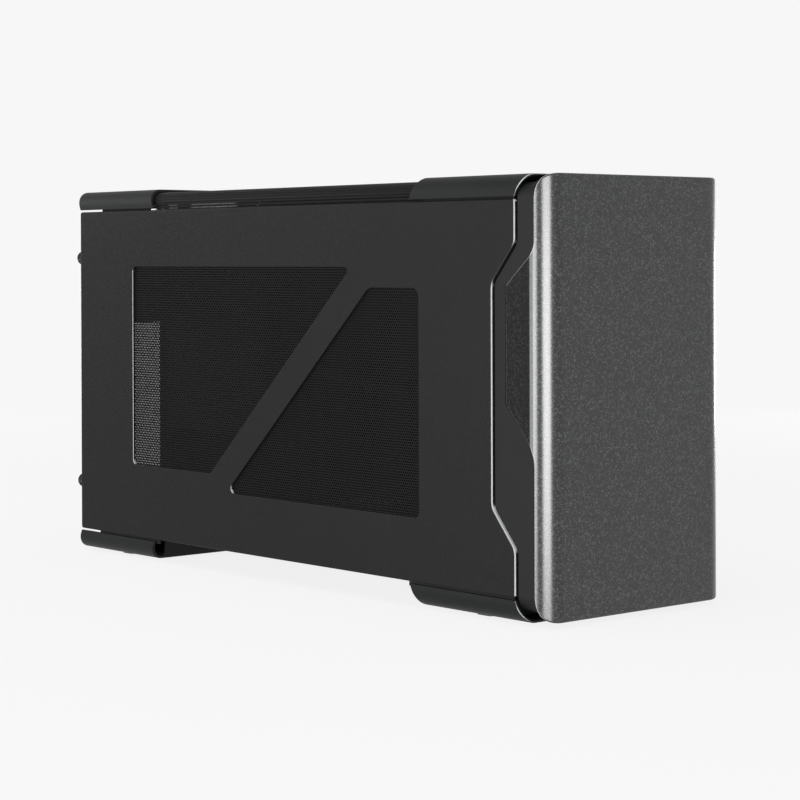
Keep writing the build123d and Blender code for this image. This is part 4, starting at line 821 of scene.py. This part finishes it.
# %% Slices of the cover
SLICE = 35 * PITCH
SLICES = 4
NOTCH_SLICE = 10 * PITCH
NOTCH_LAP = 2.4 * MM
SAME_POINT = 1e-6
cover_start = -113.0 * MM
notch_start = cover_start + SLICES * SLICE

plain_slice = cover_slice(SLICE, flat_half + bend_run + upright_run)
for i in range(SLICES):
    copied = plain_slice.copy()
    bmesh.ops.translate(copied, verts=copied.verts[:], vec=Vector((0.0, cover_start + i * SLICE, 0.0)))
    add_piece(copied, f"cover_mesh_{i + 1}", "enclosure", "mesh_coat", "top_mesh")
plain_slice.free()

notch_slice = cover_slice(NOTCH_SLICE, flat_half + bend_run + NOTCH_LAP)
bmesh.ops.translate(notch_slice, verts=notch_slice.verts[:], vec=Vector((0.0, notch_start, 0.0)))
add_piece(notch_slice, "cover_mesh_notched", "enclosure", "mesh_coat", "top_mesh")

for name, cut, outward in (
    ("cover_end_front", cover_start, Vector((0.0, 1.0, 0.0))),
    ("cover_end_rear", notch_start + NOTCH_SLICE, Vector((0.0, -1.0, 0.0))),
):
    kept_end = bmesh.new()
    kept_end.from_mesh(frame["nodes"]["top_mesh"].data)
    bmesh.ops.remove_doubles(kept_end, verts=kept_end.verts[:], dist=SAME_POINT)
    cut_line = trim(kept_end, Vector((0.0, cut, 0.0)), outward)
    bmesh.ops.triangle_fill(kept_end, edges=[e for e in cut_line if isinstance(e, bmesh.types.BMEdge)])
    add_piece(kept_end, name, "enclosure", "mesh_coat", "top_mesh")

# %% [markdown]
# ## Turned screws
# Screws and thumbscrews are turned parts with a recess for the driver pressed into the head. A boolean
# could cut the recess, but it leaves long thin faces. Here the recess outline is drawn in the top face,
# the ring between it and the rim is filled, and both loops are extruded: the inner one down to the
# recess floor, the outer one ring by ring along the turned profile. Moving every second point of
# a ring inwards gives the knurl of the thumbscrews.

# %% Turned screws
RECESS_TAPER = 0.85


def loop_of(made):
    """Points and edges of the far side of an extruded loop."""
    verts = points_in(made)
    edges = [item for item in made if isinstance(item, bmesh.types.BMEdge)]
    return verts, [edge for edge in edges if all(vert in verts for vert in edge.verts)]


def turned(profile, recess, depth, sides, knurled=(), knurl=1.0):
    """A turned screw along Y: rings of radius and height from the top face down.

    knurled numbers the rings with grooves, and knurl is the grooves' share of the ring's radius.
    """
    mesh = bmesh.new()
    radius, height = profile[0]
    at_top = Matrix.Translation((0.0, 0.0, height))
    bmesh.ops.create_circle(mesh, segments=sides, radius=radius, matrix=at_top)
    rim = mesh.edges[:]
    corners = [mesh.verts.new((x, y, height)) for x, y in recess]
    outline = [mesh.edges.new(pair) for pair in zip(corners, corners[1:] + corners[:1])]
    bmesh.ops.triangle_fill(mesh, edges=rim + outline, use_beauty=True)
    floor_verts, floor_edges = loop_of(bmesh.ops.extrude_edge_only(mesh, edges=outline)["geom"])
    bmesh.ops.scale(mesh, verts=floor_verts, vec=(RECESS_TAPER, RECESS_TAPER, 1.0))
    bmesh.ops.translate(mesh, verts=floor_verts, vec=(0.0, 0.0, -depth))
    bmesh.ops.edgeloop_fill(mesh, edges=floor_edges)
    knurled_points = []
    for number, (next_radius, next_height) in enumerate(profile[1:], 1):
        ring, rim = loop_of(bmesh.ops.extrude_edge_only(mesh, edges=rim)["geom"])
        bmesh.ops.scale(mesh, verts=ring, vec=(next_radius / radius, next_radius / radius, 1.0))
        bmesh.ops.translate(mesh, verts=ring, vec=(0.0, 0.0, next_height - height))
        radius, height = next_radius, next_height
        if number in knurled:
            knurled_points += sorted(ring, key=lambda vert: math.atan2(vert.co.y, vert.co.x))[::2]
    bmesh.ops.edgeloop_fill(mesh, edges=rim)
    bmesh.ops.scale(mesh, verts=knurled_points, vec=(knurl, knurl, 1.0))
    bmesh.ops.recalc_face_normals(mesh, faces=mesh.faces[:])
    bmesh.ops.rotate(mesh, verts=mesh.verts[:], matrix=Matrix.Rotation(-math.pi / 2, 3, "X"))
    return mesh


print("recess floors are", RECESS_TAPER, "times as wide as their mouths")

# %% [markdown]
# ## Pan heads with a cross recess
# The power supply and the right panel are held by pan-head screws at the corners of a rectangle, so
# a node's box gives their places. Where that box is only one head wide, its corners fall together in
# pairs, and rounding makes each pair one place. One screw is turned and copied to each place.

# %% Pan heads with a cross recess
SCREW_HEAD = 3.2 * MM
SCREW_HEIGHT = 2.2 * MM
SCREW_SHANK = 1.5 * MM
PAN_RINGS = ((0.74, 1.0), (0.89, 0.9), (0.97, 0.72), (1.0, 0.45), (1.0, 0.0))
ARM = 1.9 * MM
ARM_HALF = 0.45 * MM
CROSS_DEPTH = 0.6 * SCREW_HEIGHT
SCREW_SIDES = 32
cross = []
for turn in range(4):
    quarter = Matrix.Rotation(turn * math.pi / 2, 2)
    cross += [quarter @ Vector(point) for point in ((ARM, -ARM_HALF), (ARM, ARM_HALF), (ARM_HALF, ARM_HALF))]

for name in ("psu_screws", "right_panel_screws"):
    low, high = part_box(name)
    reach = high.y - low.y - SCREW_HEIGHT
    head = [(share * SCREW_HEAD, level * SCREW_HEIGHT) for share, level in PAN_RINGS]
    shank = [(SCREW_SHANK, 0.0), (SCREW_SHANK, -reach)]
    screws = turned(head + shank, cross, CROSS_DEPTH, SCREW_SIDES)
    pattern = screws.verts[:] + screws.edges[:] + screws.faces[:]
    places = {
        (round(x, 4), round(z, 4))
        for x in (low.x + SCREW_HEAD, high.x - SCREW_HEAD)
        for z in (low.z + SCREW_HEAD, high.z - SCREW_HEAD)
    }
    for x, z in sorted(places):
        copied = bmesh.ops.duplicate(screws, geom=pattern)["geom"]
        bmesh.ops.translate(screws, verts=points_in(copied), vec=(x, high.y - SCREW_HEIGHT, z))
    bmesh.ops.delete(screws, geom=points_in(pattern), context="VERTS")
    add_piece(screws, name.replace("screws", "pan_heads"), "enclosure", slots[name], name)

# %% [markdown]
# ## Knurled thumbscrews
# Two captive thumbscrews hold the left panel. Fingers need a grip, so the head is knurled between two
# plain chamfers, and a slot takes a driver or a coin.

# %% Knurled thumbscrews
THUMB_HEAD = 4.2 * MM
THUMB_HEIGHT = 7.0 * MM
THUMB_SHANK = 1.95 * MM
THUMB_RINGS = ((0.86, 1.0), (0.94, 0.95), (1.0, 0.88), (1.0, 0.25), (0.92, 0.16), (0.92, 0.0))
GRIP_RINGS = (2, 3)
GRIP_GROOVE = 0.92
SLOT_HALF = 3.0 * MM
SLOT_WIDE = 0.5 * MM
SLOT_DEPTH = 1.2 * MM
THUMB_SIDES = 56
slot_outline = [
    (-SLOT_HALF, -SLOT_WIDE),
    (SLOT_HALF, -SLOT_WIDE),
    (SLOT_HALF, SLOT_WIDE),
    (-SLOT_HALF, SLOT_WIDE),
]

for side in ("upper", "lower"):
    node = "thumbscrew_" + side
    low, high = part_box(node)
    head = [(share * THUMB_HEAD, level * THUMB_HEIGHT) for share, level in THUMB_RINGS]
    shank = [(THUMB_SHANK, 0.0), (THUMB_SHANK, low.y - high.y + THUMB_HEIGHT)]
    thumbscrew = turned(
        head + shank, slot_outline, SLOT_DEPTH, THUMB_SIDES, knurled=GRIP_RINGS, knurl=GRIP_GROOVE
    )
    centre = (low + high) / 2
    seat = (centre.x, high.y - THUMB_HEIGHT, centre.z)
    bmesh.ops.translate(thumbscrew, verts=thumbscrew.verts[:], vec=seat)
    add_piece(thumbscrew, "knurled_screw_" + side, side + "_thumbscrew", slots[node], node)
